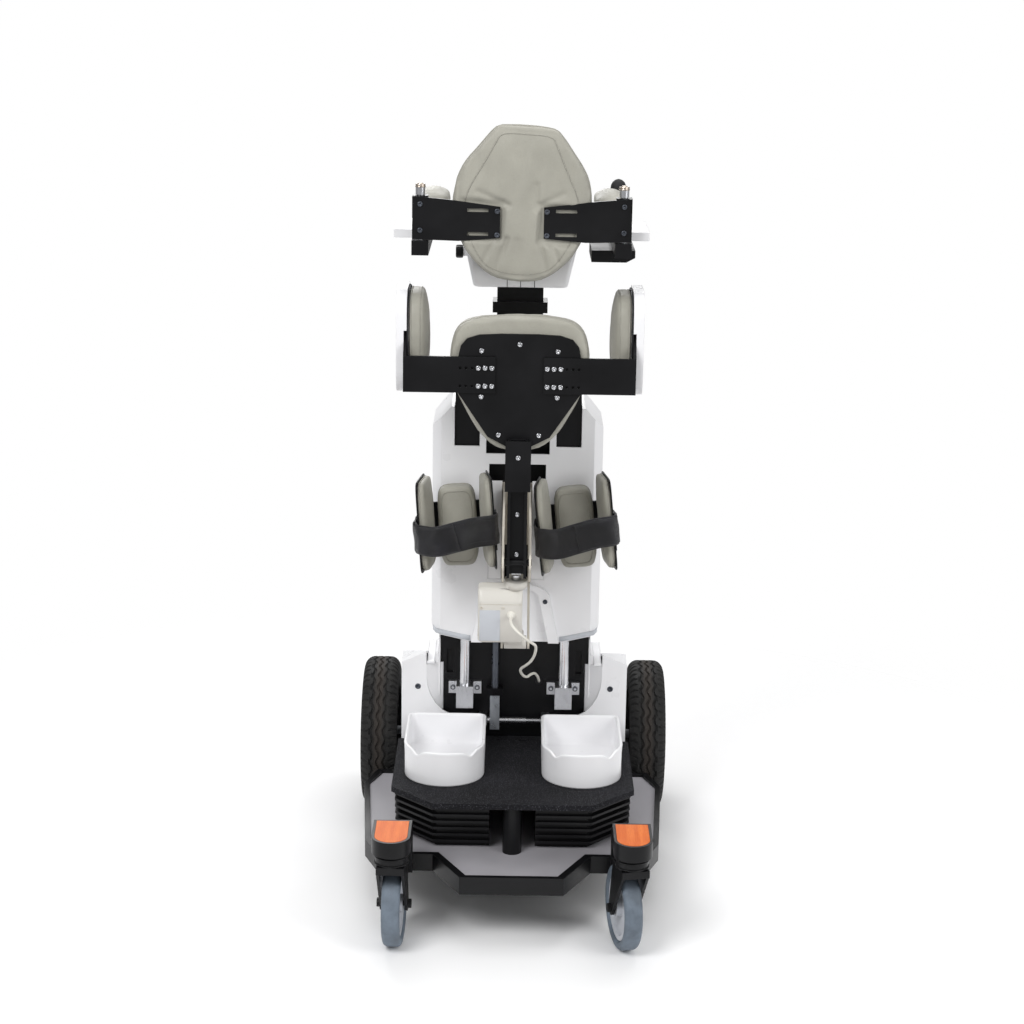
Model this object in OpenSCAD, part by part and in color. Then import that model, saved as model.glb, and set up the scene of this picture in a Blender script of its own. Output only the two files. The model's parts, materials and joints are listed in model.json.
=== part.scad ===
// Powered standing frame: a drive base with a foot platform, a sliding column with knee supports,
// a swing seat on an actuator, and a chest unit with a gate backrest on a telescopic mast.
// The user stands on +Z and faces +Y. Left and right are the user's own, with +X to the right.

/* [Drive wheels] */
// Outer diameter of the drive tyres
wheel_d = 296; // [280:2:304]
// Width of the drive tyres
tyre_w = 70; // [56:1:76]
// Distance between the middles of the two drive tyres
wheel_track = 528; // [520:2:560]
// Drive axle, measured from the middle line of the platform
axle_y = 372; // [365:1:400]
// Diameter of the drive shafts
shaft_d = 17; // [14:0.5:22]

/* [Casters] */
// Outer diameter of the caster wheels
caster_d = 150; // [130:2:152]
// Width of the caster treads
caster_w = 32; // [26:1:36]
// Distance between the two swivel axes
caster_track = 410; // [404:2:424]
// Swivel axes, measured from the middle line of the platform
swivel_y = -345; // [-360:1:-342]
// How far the wheel trails behind its swivel axis
caster_trail = 45; // [36:1:46]
// Left caster turned away from straight ahead, in degrees
left_caster_turn = -3; // [-20:1:20]
// Right caster turned away from straight ahead, in degrees
right_caster_turn = 12; // [-20:1:20]

/* [Deck and platform] */
// Deck floor below the drive axle
deck_drop = 28; // [24:1:36]
// Depth of the deck pan
deck_t = 27; // [18:1:30]
// Front edge of the deck, on the side where the user gets in
deck_front_y = -302; // [-304:1:-280]
// Half width of the deck across its side rims
deck_half_w = 284; // [276:1:292]
// Top of the foot platform above the ground
platform_top = 220; // [205:1:235]
// Thickness of the foot platform
platform_t = 10; // [6:1:14]
// Half width of the foot platform
platform_half_w = 218; // [205:1:222]
// Front edge of the foot platform
platform_front_y = -202; // [-215:1:-195]
// Back edge of the foot platform
platform_back_y = 128; // [115:1:129]
// Number of pleats in each stack under the platform
pleat_count = 6; // [3:1:8]

/* [Foot cups] */
// Outer width of a foot cup
cup_w = 145; // [125:1:150]
// Outer length of a foot cup
cup_l = 222; // [190:1:224]
// Height of a foot cup
cup_h = 62; // [45:1:75]
// Wall of a foot cup
cup_wall = 4; // [3:0.5:6]
// Distance between the middles of the two foot cups
cup_pitch = 250; // [235:1:262]

/* [Base cover] */
// Half width of the white base cover
cover_half_w = 213; // [205:1:215]
// Front face of the base cover
cover_front_y = 136; // [132:1:142]
// Top of the base cover at its middle
cover_top = 390; // [380:1:394]
// Wall of the base cover
cover_wall = 4; // [3:0.5:6]

/* [Column] */
// Half width of the column shell
shell_half_w = 156; // [150:1:158]
// Front face of the column shell
shell_front_y = 100; // [96:1:104]
// Depth of the column shell
shell_depth = 170; // [160:1:172]
// Lowest edge of the column shell
shell_bottom = 425; // [421:1:436]
// Top edge of the column shell
shell_top = 871; // [860:1:880]
// Wall of the column shell
shell_wall = 5; // [3:0.5:5.5]
// Outer size of the square upright tubes
upright_size = 44; // [42:1:46]
// Distance between the middles of the two upright tubes
upright_pitch = 186; // [182:1:190]
// Top of the upright tubes
upright_top = 905; // [895:1:940]
// Diameter of the guide rods
guide_rod_d = 20; // [16:1:22]
// Width of the mast tube
mast_w = 84; // [70:1:86]
// Depth of the mast tube
mast_depth = 40; // [30:1:42]

/* [Seat] */
// Height of the pivot that the seat swings about
pivot_z = 655; // [650:1:660]
// Pivot of the seat, measured from the middle line of the platform
pivot_y = -172; // [-175:1:-170]
// Diameter of the pivot pin
pivot_pin_d = 12; // [10:0.5:14]
// Crank between the seat pivot and the actuator pin
crank_r = 50; // [48:1:52]
// Thickness of the seat plate and of the hip brackets
plate_t = 5; // [3:0.5:6]
// Highest point of the seat plate
seat_plate_top = 1052; // [1040:1:1056]
// Half width of the seat plate at the hip brackets
seat_half_w = 104; // [96:1:108]
// Thickness of the seat cushion
seat_cushion_t = 68; // [50:1:75]
// Distance between the inner faces of the hip pads
hip_gap = 310; // [300:2:330]
// Thickness of a hip pad
hip_pad_t = 37; // [25:1:40]

/* [Knee supports] */
// Height of the middle of the knee supports
knee_z = 662; // [655:1:670]
// Distance between the middles of the two knee supports
knee_pitch = 214; // [212:1:222]
// Width of the middle knee pad
knee_pad_w = 68; // [56:1:70]
// Height of the middle knee pad
knee_pad_h = 150; // [120:1:156]
// Width of the knee straps
strap_w = 56; // [40:1:60]
// Left knee support turned on its boss, in degrees
left_knee_turn = -4; // [-5:0.5:5]
// Right knee support turned on its boss, in degrees
right_knee_turn = -6; // [-6:0.5:5]

/* [Chest unit and backrest] */
// Underside of the chest housing
chest_bottom = 1092; // [1088:1:1104]
// Height of the chest housing
chest_h = 118; // [110:1:130]
// Distance between the two hinge pins of the backrest
hinge_pitch = 336; // [330:2:344]
// Hinge pins, measured from the middle line of the platform
hinge_y = -190; // [-196:1:-186]
// Diameter of the hinge pins
hinge_pin_d = 12; // [10:0.5:14]
// Width of the backrest pad
back_pad_w = 229; // [200:1:236]
// Height of the backrest pad
back_pad_h = 254; // [230:1:270]
// Thickness of the backrest pad
back_pad_t = 46; // [36:1:52]
// Lean of the backrest pad on its slotted brackets, in degrees
back_pad_lean = 3.4; // [-4:0.2:4]

/* [Hidden] */
$fn = 48;

// Shared clearances, in millimetres
overrun = 1;
run_clear = 0.05;
soft_clear = 0.4;
slide_clear = 0.3;
seat_clear = 0.2;

// Finishes
black = [0.09, 0.09, 0.1];
white = [0.92, 0.92, 0.93];
grey = [0.58, 0.57, 0.59];
beige = [0.88, 0.86, 0.82];
hide = [0.62, 0.61, 0.57];
steel = [0.78, 0.79, 0.8];
wood = [0.8, 0.43, 0.2];
rubber = [0.06, 0.06, 0.06];
tread_grey = [0.37, 0.41, 0.45];

// Drive wheel
wheel_r = wheel_d / 2;
wheel_x = wheel_track / 2;
tyre_height = 54;
tyre_shoulder_r = 20;
rim_r = wheel_r - tyre_height;
rim_t = 8;
rim_inset = 6;
rim_w = tyre_w - 2 * rim_inset;
web_t = 12;
boss_r = 28;
boss_w = 50;
web_hole_d = 30;
web_hole_count = 6;
web_hole_circle_r = (boss_r + rim_r - rim_t) / 2;

// Caster
caster_r = caster_d / 2;
caster_x = caster_track / 2;
tread_t = 17;
tread_round = 8;
caster_hub_r = caster_r - tread_t - seat_clear;
caster_web_t = 12;
caster_boss_r = 16;
caster_rim_t = 8;
caster_axle_d = 10;
axle_head_d = 16;
axle_head_t = 6;
fork_gap = 3;
leg_t = 5;
leg_in = caster_w / 2 + fork_gap;
leg_out = leg_in + leg_t;
crown_t = 13;
crown_clear = 7;
crown_bottom = caster_d + crown_clear;
crown_front = 28;
crown_back_gap = 5;
crown_back = caster_trail - crown_back_gap;
leg_root_share = 0.9;
leg_eye_r = 13;
swivel_ring_r = 28;
swivel_ring_t = 27;
swivel_ring_top = crown_bottom + crown_t + swivel_ring_t;
stem_d = 20;
stem_l = 22;
stem_clear = 0.1;
housing_bottom = swivel_ring_top + slide_clear;
housing_h = 28;
housing_top = housing_bottom + housing_h;
housing_r = 33;
housing_front = 19;
housing_back = 53;
cap_inset = 5;
cap_t = 3;
cap_proud = 0.4;
housing_front_y = swivel_y - housing_front - housing_r;
housing_back_y = swivel_y + housing_back;
arm_half_w = 30;
arm_gap = 4;
arm_clear_r = caster_trail + caster_r + arm_gap;
arm_neck_y = swivel_y + arm_clear_r;
arm_top_drop = 37;
arm_low_drop = 52;
arm_web_lift = 4;
arm_round = 20;
arm_root_drop = 15;

// Deck and platform
panel_t = 2;
deck_top = wheel_r - deck_drop;
deck_floor = deck_top - panel_t;
deck_bottom = deck_top - deck_t;
rim_rise = 5;
rim_top = deck_top + rim_rise;
rim_width = 10;
nose_half_w = 90;
neck_half_w = 140;
wing_front_y = -203;
wing_half_w = 240;
flank_y = -140;
flank_half_w = 264;
deck_side_y = 140;
deck_wheel_gap = 12;
deck_back_y = axle_y - wheel_r - deck_wheel_gap;
deck_back_half_w = 262;
pan_lip = 1;
pan_half_w = cover_half_w + pan_lip;
pan_behind_axle = 130;
pan_back_y = axle_y + pan_behind_axle;
platform_low = platform_top - platform_t;
platform_nose_half_w = 141;
platform_shoulder_y = -122;
platform_tip_half_w = 60;
platform_slot = [18, 6];
platform_slot_x = 21;
platform_tip_reach = 14;
platform_tip_y = cover_front_y + platform_tip_reach;
pleat_gap_half_w = 41;
pleat_inset = 13;
pleat_step = 7;
pleat_edge = 6;
pleat_back_y = 60;
pleat_lip_share = 0.3;
post_d = 34;
post_setback = 12;
fascia_h = 14;
fascia_t = 4;

// Base cover and what it holds
cover_back_y = pan_back_y;
cover_drop = 20;
cover_corner = 40;
cover_brow = 10;
roof_fall = 118;
cheek_low = 272;
cheek_wall = 6;
cheek_gap = 10;
recess_steps = 6;
recess_low_half_w = 104;
recess_top_half_w = 166;
recess_low_z = 264;
recess_high_z = 345;
platform_tail_room = 4;
platform_tail_half_w = recess_low_half_w - platform_tail_room;
shell_room = 5;
shaft_room = 7;
shaft_hole_d = shaft_d + 2 * shaft_room;
chassis_half_w = 140;
chassis_t = 6;
chassis_setback = 18;
chassis_y = cover_front_y + chassis_setback;
chassis_drop = 7;
chassis_top = shell_bottom - chassis_drop;
chassis_slot_w = 12;
chassis_slot_h = 46;
chassis_slot_low = 345;
chassis_slot_x = 122;
support_w = 62;
support_core_wall = 6;
support_low = 287;
support_h = 43;
support_core_w = guide_rod_d + 2 * support_core_wall;
support_foot_t = 8;
support_foot_h = 24;
support_screw_d = 9;
support_screw_t = 3;
support_screw_inset = 8;
rod_setback = 30;
rod_y = shell_front_y + rod_setback;
rod_x = upright_pitch / 2;
rod_drop = 125;
rod_top = upright_top - rod_drop;
strut_x = -36;
strut_d = 13;
strut_low = 325;
strut_top = 545;
strut_end = [30, 22, 14];
clevis_w = 18;
clevis_low = 242;
clevis_t = 14;
bar_height = 259;
bar_d = 12;
bar_step_d = 9;
bar_left = -58;
bar_step_x = 24;
bar_right = 60;
bar_foot = 16;
motor_block = [115, 84, 72];
motor_d = 60;
motor_l = 66;
motor_wall_gap = 6;
shaft_end_gap = 4;
shaft_reach = wheel_x + boss_w / 2 - shaft_end_gap;
battery = [142, 110, 180];
battery_gap = 6;
battery_setback = 16;
battery_y = chassis_y + chassis_t + battery_setback;

// Whole part: the middle of its length is brought to the origin
centre_y = (axle_y + wheel_r + housing_front_y) / 2;
module placed() translate([0, -centre_y, 0]) children();

// Shared shapes
module pair() {
  children();
  mirror([1, 0, 0]) children();
}

// Extrudes an outline along Z, along Y (outline in X and Z) or along X (outline in Y and Z)
module slab_z(z0, z1) translate([0, 0, z0]) linear_extrude(z1 - z0) children();
module slab_y(y0, y1) translate([0, y1, 0]) rotate([90, 0, 0]) linear_extrude(y1 - y0) children();
module slab_x(x0, x1) translate([x0, 0, 0]) rotate([90, 0, 90]) linear_extrude(x1 - x0) children();
module box(x, y, z) translate([x[0], y[0], z[0]]) cube([x[1] - x[0], y[1] - y[0], z[1] - z[0]]);
module bar_x(y, z, d, x0, x1) translate([x0, y, z]) rotate([0, 90, 0]) cylinder(d = d, h = x1 - x0);
module bar_y(x, z, d, y0, y1) translate([x, y1, z]) rotate([90, 0, 0]) cylinder(d = d, h = y1 - y0);
module bar_z(x, y, d, z0, z1) translate([x, y, z0]) cylinder(d = d, h = z1 - z0);
module dot(p, r) translate(p) circle(r);

module round_rect(w, h, r) {
  square([w - 2 * r, h], center = true);
  square([w, h - 2 * r], center = true);
  for (x = [-1, 1])
    for (y = [-1, 1])
      dot([x * (w / 2 - r), y * (h / 2 - r)], r);
}

// A bar of round ends between two points
module link2d(a, b, ra, rb) {
  v = (b - a) / norm(b - a);
  n = [-v.y, v.x];
  polygon([a + ra * n, b + rb * n, b - rb * n, a - ra * n]);
  dot(a, ra);
  dot(b, rb);
}

function mirrored(pts) = concat(pts, [for (i = [len(pts) - 1 : -1 : 0]) [-pts[i].x, pts[i].y]]);

// Smooth closed line through a few points
function knot(p, i) = p[(i + len(p)) % len(p)];
function curve_point(p, i, t) =
  ((2 * knot(p, i)) + (knot(p, i + 1) - knot(p, i - 1)) * t
   + (2 * knot(p, i - 1) - 5 * knot(p, i) + 4 * knot(p, i + 1) - knot(p, i + 2)) * t * t
   + (3 * knot(p, i) - knot(p, i - 1) - 3 * knot(p, i + 1) + knot(p, i + 2)) * t * t * t) / 2;
function smooth_loop(p, n) = [for (i = [0 : len(p) - 1]) for (k = [0 : n - 1]) curve_point(p, i, k / n)];

// Rounded rectangle as a line of points, for pads
function sign_pow(v, e) = sign(v) * pow(abs(v), e);
function soft_rect(w, h, squareness, n) = [
  for (i = [0 : n - 1])
    let (a = 360 * i / n)
      [w / 2 * sign_pow(cos(a), 2 / squareness), h / 2 * sign_pow(sin(a), 2 / squareness)]
];

// Padded form over an outline: flat back, sides drawn in, seam edge and crowned face.
// A form lists the rounding of the edge, the rise of the crown and the draw of the sides
function total(v) = [for (i = [0 : len(v) - 1]) 1] * v;
function middle_of(pts) = [total([for (p = pts) p.x]), total([for (p = pts) p.y])] / len(pts);
function drawn_to(p, c, d) = c + (p - c) * max(0, 1 - d / norm(p - c));
pad_form = [9, 7, 3];
arm_pad_form = [10, 8, 2];
back_pad_form = [10, 8, 2];
cushion_form = [14, 12, 4];
wing_form = [5, 4, 1.5];
pad_points = 28;
wing_points = 24;
pad_square = 3.2;
loop_steps = 2;
pad_back_share = 0.3;
pad_face_shares = [[0.45, 0.25], [0.1, 0.6]];
function pad_rings(t, edge, crown, drawn, span) = [
  [0, edge],
  [edge * pad_back_share, edge * pad_back_share],
  [edge, 0],
  [(t - crown) / 2, drawn],
  [t - crown - edge, 0],
  [t - crown - edge * pad_back_share, edge * pad_back_share],
  [t - crown, edge],
  for (s = pad_face_shares) [t - crown * s[0], edge + span * s[1]]
];
module padded(outline, t, form) {
  edge = form[0];
  n = len(outline);
  c = middle_of(outline);
  span = min([for (p = outline) norm(p - c)]) - edge;
  rings = pad_rings(t, edge, form[1], form[2], span);
  m = len(rings);
  shell = [for (r = rings) for (p = outline) let (q = drawn_to(p, c, r[1])) [q.x, q.y, r[0]]];
  low = [c.x, c.y, 0];
  high = [c.x, c.y, t];
  polyhedron(
    concat(shell, [low, high]),
    concat(
      [for (i = [0 : m - 2]) for (j = [0 : n - 1]) let (k = (j + 1) % n)
        [i * n + j, (i + 1) * n + j, (i + 1) * n + k]],
      [for (i = [0 : m - 2]) for (j = [0 : n - 1]) let (k = (j + 1) % n)
        [i * n + j, (i + 1) * n + k, i * n + k]],
      [for (j = [0 : n - 1]) [n * m, j, (j + 1) % n]],
      [for (j = [0 : n - 1]) [n * m + 1, (m - 1) * n + (j + 1) % n, (m - 1) * n + j]]
    )
  );
}

// Tube swept along a line of points, with flat ends
function along(p, i) = p[min(i + 1, len(p) - 1)] - p[max(i - 1, 0)];
function unit(v) = v / norm(v);
module swept_tube(path, d, sides) {
  n = len(path);
  side_dir = [1, 0, 0];
  pts = [
    for (i = [0 : n - 1])
      let (t = unit(along(path, i)), u = unit(cross(t, cross(side_dir, t))), v = cross(t, u))
        for (j = [0 : sides - 1]) path[i] + d / 2 * (cos(360 * j / sides) * u + sin(360 * j / sides) * v)
  ];
  polyhedron(
    pts,
    concat(
      [for (i = [0 : n - 2]) for (j = [0 : sides - 1]) let (k = (j + 1) % sides)
        [i * sides + j, (i + 1) * sides + j, (i + 1) * sides + k]],
      [for (i = [0 : n - 2]) for (j = [0 : sides - 1]) let (k = (j + 1) % sides)
        [i * sides + j, (i + 1) * sides + k, i * sides + k]],
      [[for (j = [0 : sides - 1]) j]],
      [[for (j = [sides - 1 : -1 : 0]) (n - 1) * sides + j]]
    )
  );
}

// Base
function deck_half(inset) = [
  [nose_half_w - inset, deck_front_y + inset],
  [neck_half_w - inset, wing_front_y + inset],
  [wing_half_w - inset, wing_front_y + inset],
  [flank_half_w - inset, flank_y],
  [deck_half_w - inset, deck_side_y],
  [deck_back_half_w - inset, deck_back_y - inset]
];
module deck_outline(inset) polygon(mirrored(deck_half(inset)));
module under_cover_outline(room) {
  translate([-pan_half_w - room, cover_front_y - room])
    square([2 * (pan_half_w + room), pan_back_y - cover_front_y + 2 * room]);
}

module deck_frame() color(black) {
  slab_z(deck_bottom, deck_floor) {
    deck_outline(0);
    under_cover_outline(0);
  }
  slab_z(deck_floor, rim_top) difference() {
    deck_outline(0);
    deck_outline(rim_width);
    under_cover_outline(overrun);
  }
}

module deck_panel() color(grey) {
  slab_z(deck_floor, deck_top) difference() {
    deck_outline(rim_width + seat_clear);
    under_cover_outline(overrun);
  }
  box(
    [-pleat_gap_half_w + overrun, pleat_gap_half_w - overrun],
    [platform_front_y + post_setback + post_d, platform_front_y + post_setback + post_d + fascia_t],
    [platform_low - fascia_h, platform_low]
  );
}

platform_half = [
  [platform_nose_half_w, platform_front_y],
  [platform_half_w, platform_shoulder_y],
  [platform_half_w, platform_back_y],
  [platform_tail_half_w, platform_back_y],
  [platform_tip_half_w, platform_tip_y]
];
module platform() color(black) slab_z(platform_low, platform_top) difference() {
  polygon(mirrored(platform_half));
  for (x = [-1, 1])
    translate([x * platform_slot_x, platform_back_y])
      square(platform_slot, center = true);
}

// One layer of a pleat stack, drawn in at its open edges
module pleat_layer(inset, set_back) polygon([
  [pleat_gap_half_w, platform_front_y + pleat_edge + inset + set_back],
  [platform_nose_half_w - inset / 2, platform_front_y + pleat_edge + inset + set_back],
  [platform_half_w - pleat_edge - inset, platform_shoulder_y + inset + set_back],
  [platform_half_w - pleat_edge - inset, pleat_back_y],
  [pleat_gap_half_w, pleat_back_y]
]);
module fin_stacks() color(black) pair() {
  pitch = (platform_low - deck_top) / pleat_count;
  lip = pitch * pleat_lip_share;
  for (i = [0 : pleat_count - 1]) {
    z = platform_low - i * pitch;
    slab_z(z - lip, z) pleat_layer(0, i * pleat_step);
    slab_z(z - pitch, z - lip) pleat_layer(pleat_inset, i * pleat_step);
  }
}

module platform_post() color(black)
  bar_z(0, platform_front_y + post_setback + post_d / 2, post_d, deck_top, platform_low);

// Foot cup: round heel towards the user's back, scalloped rim at the heel
cup_heel_y = -122;
cup_dip_depth = 7;
cup_dip_share = 0.34;
cup_dip_w = 22;
cup_toe_round = 14;
module cup_outline(inset) {
  r = cup_w / 2 - inset;
  c = cup_heel_y + cup_w / 2;
  toe = cup_heel_y + cup_l - inset;
  dot([0, c], r);
  translate([-r, c]) square([2 * r, toe - c - cup_toe_round]);
  translate([-r + cup_toe_round, c]) square([2 * (r - cup_toe_round), toe - c]);
  for (x = [-1, 1])
    dot([x * (r - cup_toe_round), toe - cup_toe_round], cup_toe_round);
}
module foot_cup() difference() {
  slab_z(platform_top, platform_top + cup_h) cup_outline(0);
  slab_z(platform_top + cup_wall, platform_top + cup_h + overrun) cup_outline(cup_wall);
  for (x = [-1, 1])
    box(
      [x * cup_w * cup_dip_share - cup_dip_w / 2, x * cup_w * cup_dip_share + cup_dip_w / 2],
      [cup_heel_y - overrun, cup_heel_y + cup_w / 2],
      [platform_top + cup_h - cup_dip_depth, platform_top + cup_h + overrun]
    );
}
module foot_cups() color(white)
  for (x = [-1, 1])
    translate([x * cup_pitch / 2, 0, 0]) foot_cup();

// Caster housings, the arms that carry them and the inlays on top
module housing_outline(inset) {
  dot([caster_x, swivel_y - housing_front], housing_r - inset);
  translate([caster_x - housing_r + inset, swivel_y - housing_front])
    square([2 * (housing_r - inset), housing_front + housing_back - inset]);
}
module caster_arm() {
  difference() {
    slab_z(housing_bottom, housing_top) housing_outline(0);
    slab_z(housing_top - cap_t, housing_top + overrun) housing_outline(cap_inset);
    bar_z(
      caster_x, swivel_y, stem_d + 2 * stem_clear,
      housing_bottom - overrun, housing_bottom + stem_l + overrun
    );
  }
  slab_x(caster_x - arm_half_w, caster_x + arm_half_w) polygon([
    [housing_back_y, housing_bottom - arm_root_drop],
    [housing_back_y, housing_top],
    [arm_neck_y, housing_top - arm_top_drop],
    [wing_front_y, housing_top - arm_low_drop],
    [wing_front_y, deck_bottom + arm_web_lift],
    [arm_neck_y, deck_bottom + arm_web_lift],
    [arm_neck_y, housing_bottom - arm_root_drop - arm_round],
    [arm_neck_y - arm_round, housing_bottom - arm_root_drop]
  ]);
}
module caster_arms() color(black) pair() caster_arm();

module caster_caps() color(wood) pair()
  slab_z(housing_top - cap_t, housing_top + cap_proud) housing_outline(cap_inset + seat_clear);

// White cover between the drive wheels, open towards the column
module cover_plan(inset) polygon(mirrored([
  [cover_half_w - inset, cover_front_y + inset],
  [cover_half_w - inset, cover_back_y - cover_corner],
  [cover_half_w - cover_corner, cover_back_y - inset]
]));
module cover_face(inset) polygon(mirrored([
  [cover_half_w - inset, deck_floor],
  [cover_half_w - inset, cover_top - cover_drop - inset],
  [recess_top_half_w, cover_top - inset]
]));
module cover_side(inset) polygon([
  [cover_front_y, deck_floor],
  [cover_front_y, cover_top - inset],
  [cover_front_y + cover_brow, cover_top - inset],
  [cover_back_y, cover_top - roof_fall - inset],
  [cover_back_y, deck_floor]
]);
module cover_body(inset) intersection() {
  slab_z(deck_floor, cover_top) cover_plan(inset);
  slab_y(cover_front_y, cover_back_y) cover_face(inset);
  slab_x(-cover_half_w, cover_half_w) cover_side(inset);
}
module cover_shell() difference() {
  cover_body(0);
  translate([0, 0, -overrun]) cover_body(cover_wall);
  slab_z(cover_top - cover_drop - cover_wall, cover_top + overrun)
    translate([-recess_top_half_w, cover_front_y - overrun])
      square([2 * recess_top_half_w, shell_front_y + shell_depth + shell_room - cover_front_y + overrun]);
  slab_y(cover_front_y - overrun, cover_front_y + cover_wall + overrun) polygon(mirrored([
    [recess_low_half_w, deck_floor - overrun],
    for (i = [0 : recess_steps])
      let (a = 90 * i / recess_steps)
        [
          recess_low_half_w + (recess_top_half_w - recess_low_half_w) * sin(a),
          recess_high_z - (recess_high_z - recess_low_z) * cos(a)
        ],
    [recess_top_half_w, cover_top + overrun]
  ]));
  bar_x(axle_y, wheel_r, shaft_hole_d, -cover_half_w - overrun, cover_half_w + overrun);
}
module base_cover() color(white) {
  cover_shell();
  pair() slab_z(cheek_low, cover_top - cover_drop - cover_wall) polygon([
    [recess_top_half_w, cover_front_y],
    [recess_top_half_w + cheek_wall, cover_front_y],
    [rod_x + support_w / 2 + cheek_gap + cheek_wall, chassis_y - cut_room],
    [rod_x + support_w / 2 + cheek_gap, chassis_y - cut_room]
  ]);
}

// Black upright plate that carries the guide rods
module chassis_plate() color(black) difference() {
  box([-chassis_half_w, chassis_half_w], [chassis_y, chassis_y + chassis_t], [deck_floor, chassis_top]);
  for (x = [-1, 1])
    box(
      [x * chassis_slot_x - chassis_slot_w / 2, x * chassis_slot_x + chassis_slot_w / 2],
      [chassis_y - overrun, chassis_y + chassis_t + overrun],
      [chassis_slot_low, chassis_slot_low + chassis_slot_h]
    );
  bar_y(
    cable_hole.x, cable_hole.y, cable_d + 2 * cable_hole_room,
    chassis_y - overrun, chassis_y + chassis_t + overrun
  );
}

module guide_rods() color(steel) pair() bar_z(rod_x, rod_y, guide_rod_d, support_low, rod_top);

module shaft_support() {
  difference() {
    union() {
      box(
        [rod_x - support_core_w / 2, rod_x + support_core_w / 2],
        [rod_y - support_core_w / 2, chassis_y],
        [support_low, support_low + support_h]
      );
      box(
        [rod_x - support_w / 2, rod_x + support_w / 2],
        [chassis_y - support_foot_t, chassis_y],
        [support_low + support_h - support_foot_h, support_low + support_h]
      );
    }
    bar_z(
      rod_x, rod_y, guide_rod_d + 2 * run_clear,
      support_low - overrun, support_low + support_h + overrun
    );
  }
  for (x = [-1, 1])
    bar_y(
      rod_x + x * (support_w / 2 - support_screw_inset), support_low + support_h - support_foot_h / 2,
      support_screw_d, chassis_y - support_foot_t - support_screw_t, chassis_y - support_foot_t
    );
}
module shaft_supports() color(steel) pair() shaft_support();

// Lift strut: rod, end block and the clevis that hooks on the cross bar
module lift_rod() color([0.25, 0.27, 0.3]) difference() {
  union() {
    bar_z(strut_x, rod_y, strut_d, strut_low, strut_top);
    box(
      [strut_x - strut_end.x / 2, strut_x + strut_end.x / 2],
      [rod_y - strut_end.y / 2, rod_y + strut_end.y / 2],
      [strut_low - strut_end.z, strut_low]
    );
    box(
      [strut_x - clevis_w / 2, strut_x + clevis_w / 2],
      [rod_y - clevis_t / 2, rod_y + clevis_t / 2],
      [clevis_low, strut_low - strut_end.z]
    );
  }
  bar_x(rod_y, bar_height, bar_d + 2 * run_clear, strut_x - clevis_w, strut_x + clevis_w);
  box(
    [strut_x - clevis_w, strut_x + clevis_w],
    [rod_y - bar_d / 2 - run_clear, rod_y + bar_d / 2 + run_clear],
    [clevis_low - overrun, bar_height]
  );
}
module cross_bar() color(steel) {
  bar_x(rod_y, bar_height, bar_d, bar_left, bar_step_x);
  bar_x(rod_y, bar_height, bar_step_d, bar_step_x, bar_right);
  for (x = [bar_left, bar_right])
    box(
      [x - bar_foot / 2, x + bar_foot / 2],
      [rod_y - bar_foot / 2, chassis_y],
      [bar_height - bar_foot / 2, bar_height + bar_foot / 2]
    );
}

// Drive units on the chassis pan, each with a shaft out to its wheel
module gearmotor() {
  outer = cover_half_w - cover_wall - motor_wall_gap;
  box(
    [outer - motor_block.x, outer],
    [axle_y - motor_block.y / 2, axle_y + motor_block.y / 2],
    [deck_floor, deck_floor + motor_block.z]
  );
  bar_x(
    axle_y, deck_floor + motor_block.z / 2, motor_d,
    outer - motor_block.x - motor_l, outer - motor_block.x
  );
  bar_x(axle_y, wheel_r, shaft_d, outer, shaft_reach);
}
module gearmotors() color([0.35, 0.36, 0.38]) pair() gearmotor();

module battery_pack() color([0.2, 0.22, 0.26]) pair() box(
  [battery_gap / 2, battery_gap / 2 + battery.x],
  [battery_y, battery_y + battery.y],
  [deck_floor, deck_floor + battery.z]
);

// Drive wheel about its own axle, along X
module tyre() rotate([0, 90, 0]) rotate_extrude()
  translate([rim_r + tyre_height / 2, 0]) round_rect(tyre_height, tyre_w, tyre_shoulder_r);
module wheel_hub() rotate([0, 90, 0]) difference() {
  rotate_extrude() {
    translate([rim_r - rim_t - seat_clear, -rim_w / 2]) square([rim_t, rim_w]);
    translate([shaft_d / 2 + run_clear, -web_t / 2]) square([rim_r - rim_t - shaft_d / 2, web_t]);
    translate([shaft_d / 2 + run_clear, -boss_w / 2]) square([boss_r - shaft_d / 2, boss_w]);
  }
  for (i = [0 : web_hole_count - 1])
    rotate(360 * i / web_hole_count)
      translate([web_hole_circle_r, 0, -web_t])
        cylinder(d = web_hole_d, h = 2 * web_t);
}
module at_wheel(side) translate([side * wheel_x, axle_y, wheel_r]) children();
module left_tyre() color(rubber) at_wheel(-1) tyre();
module left_hub() color([0.2, 0.2, 0.22]) at_wheel(-1) wheel_hub();
module right_tyre() color(rubber) at_wheel(1) tyre();
module right_hub() color([0.2, 0.2, 0.22]) at_wheel(1) wheel_hub();

// Caster about its swivel axis, with the wheel trailing along +Y
module caster_fork() {
  bar_z(0, 0, stem_d, swivel_ring_top, swivel_ring_top + stem_l);
  bar_z(0, 0, 2 * swivel_ring_r, crown_bottom + crown_t, swivel_ring_top);
  box([-leg_out, leg_out], [-crown_front, crown_back], [crown_bottom, crown_bottom + crown_t]);
  for (x = [-leg_out, leg_in])
    slab_x(x, x + leg_t) {
      polygon([
        [-crown_front * leg_root_share, crown_bottom],
        [caster_trail - leg_eye_r, caster_r],
        [caster_trail + leg_eye_r, caster_r],
        [crown_back, crown_bottom]
      ]);
      dot([caster_trail, caster_r], leg_eye_r);
    }
  bar_x(caster_trail, caster_r, caster_axle_d, -leg_out, leg_out);
  for (x = [-leg_out - axle_head_t, leg_out])
    bar_x(caster_trail, caster_r, axle_head_d, x, x + axle_head_t);
}
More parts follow.
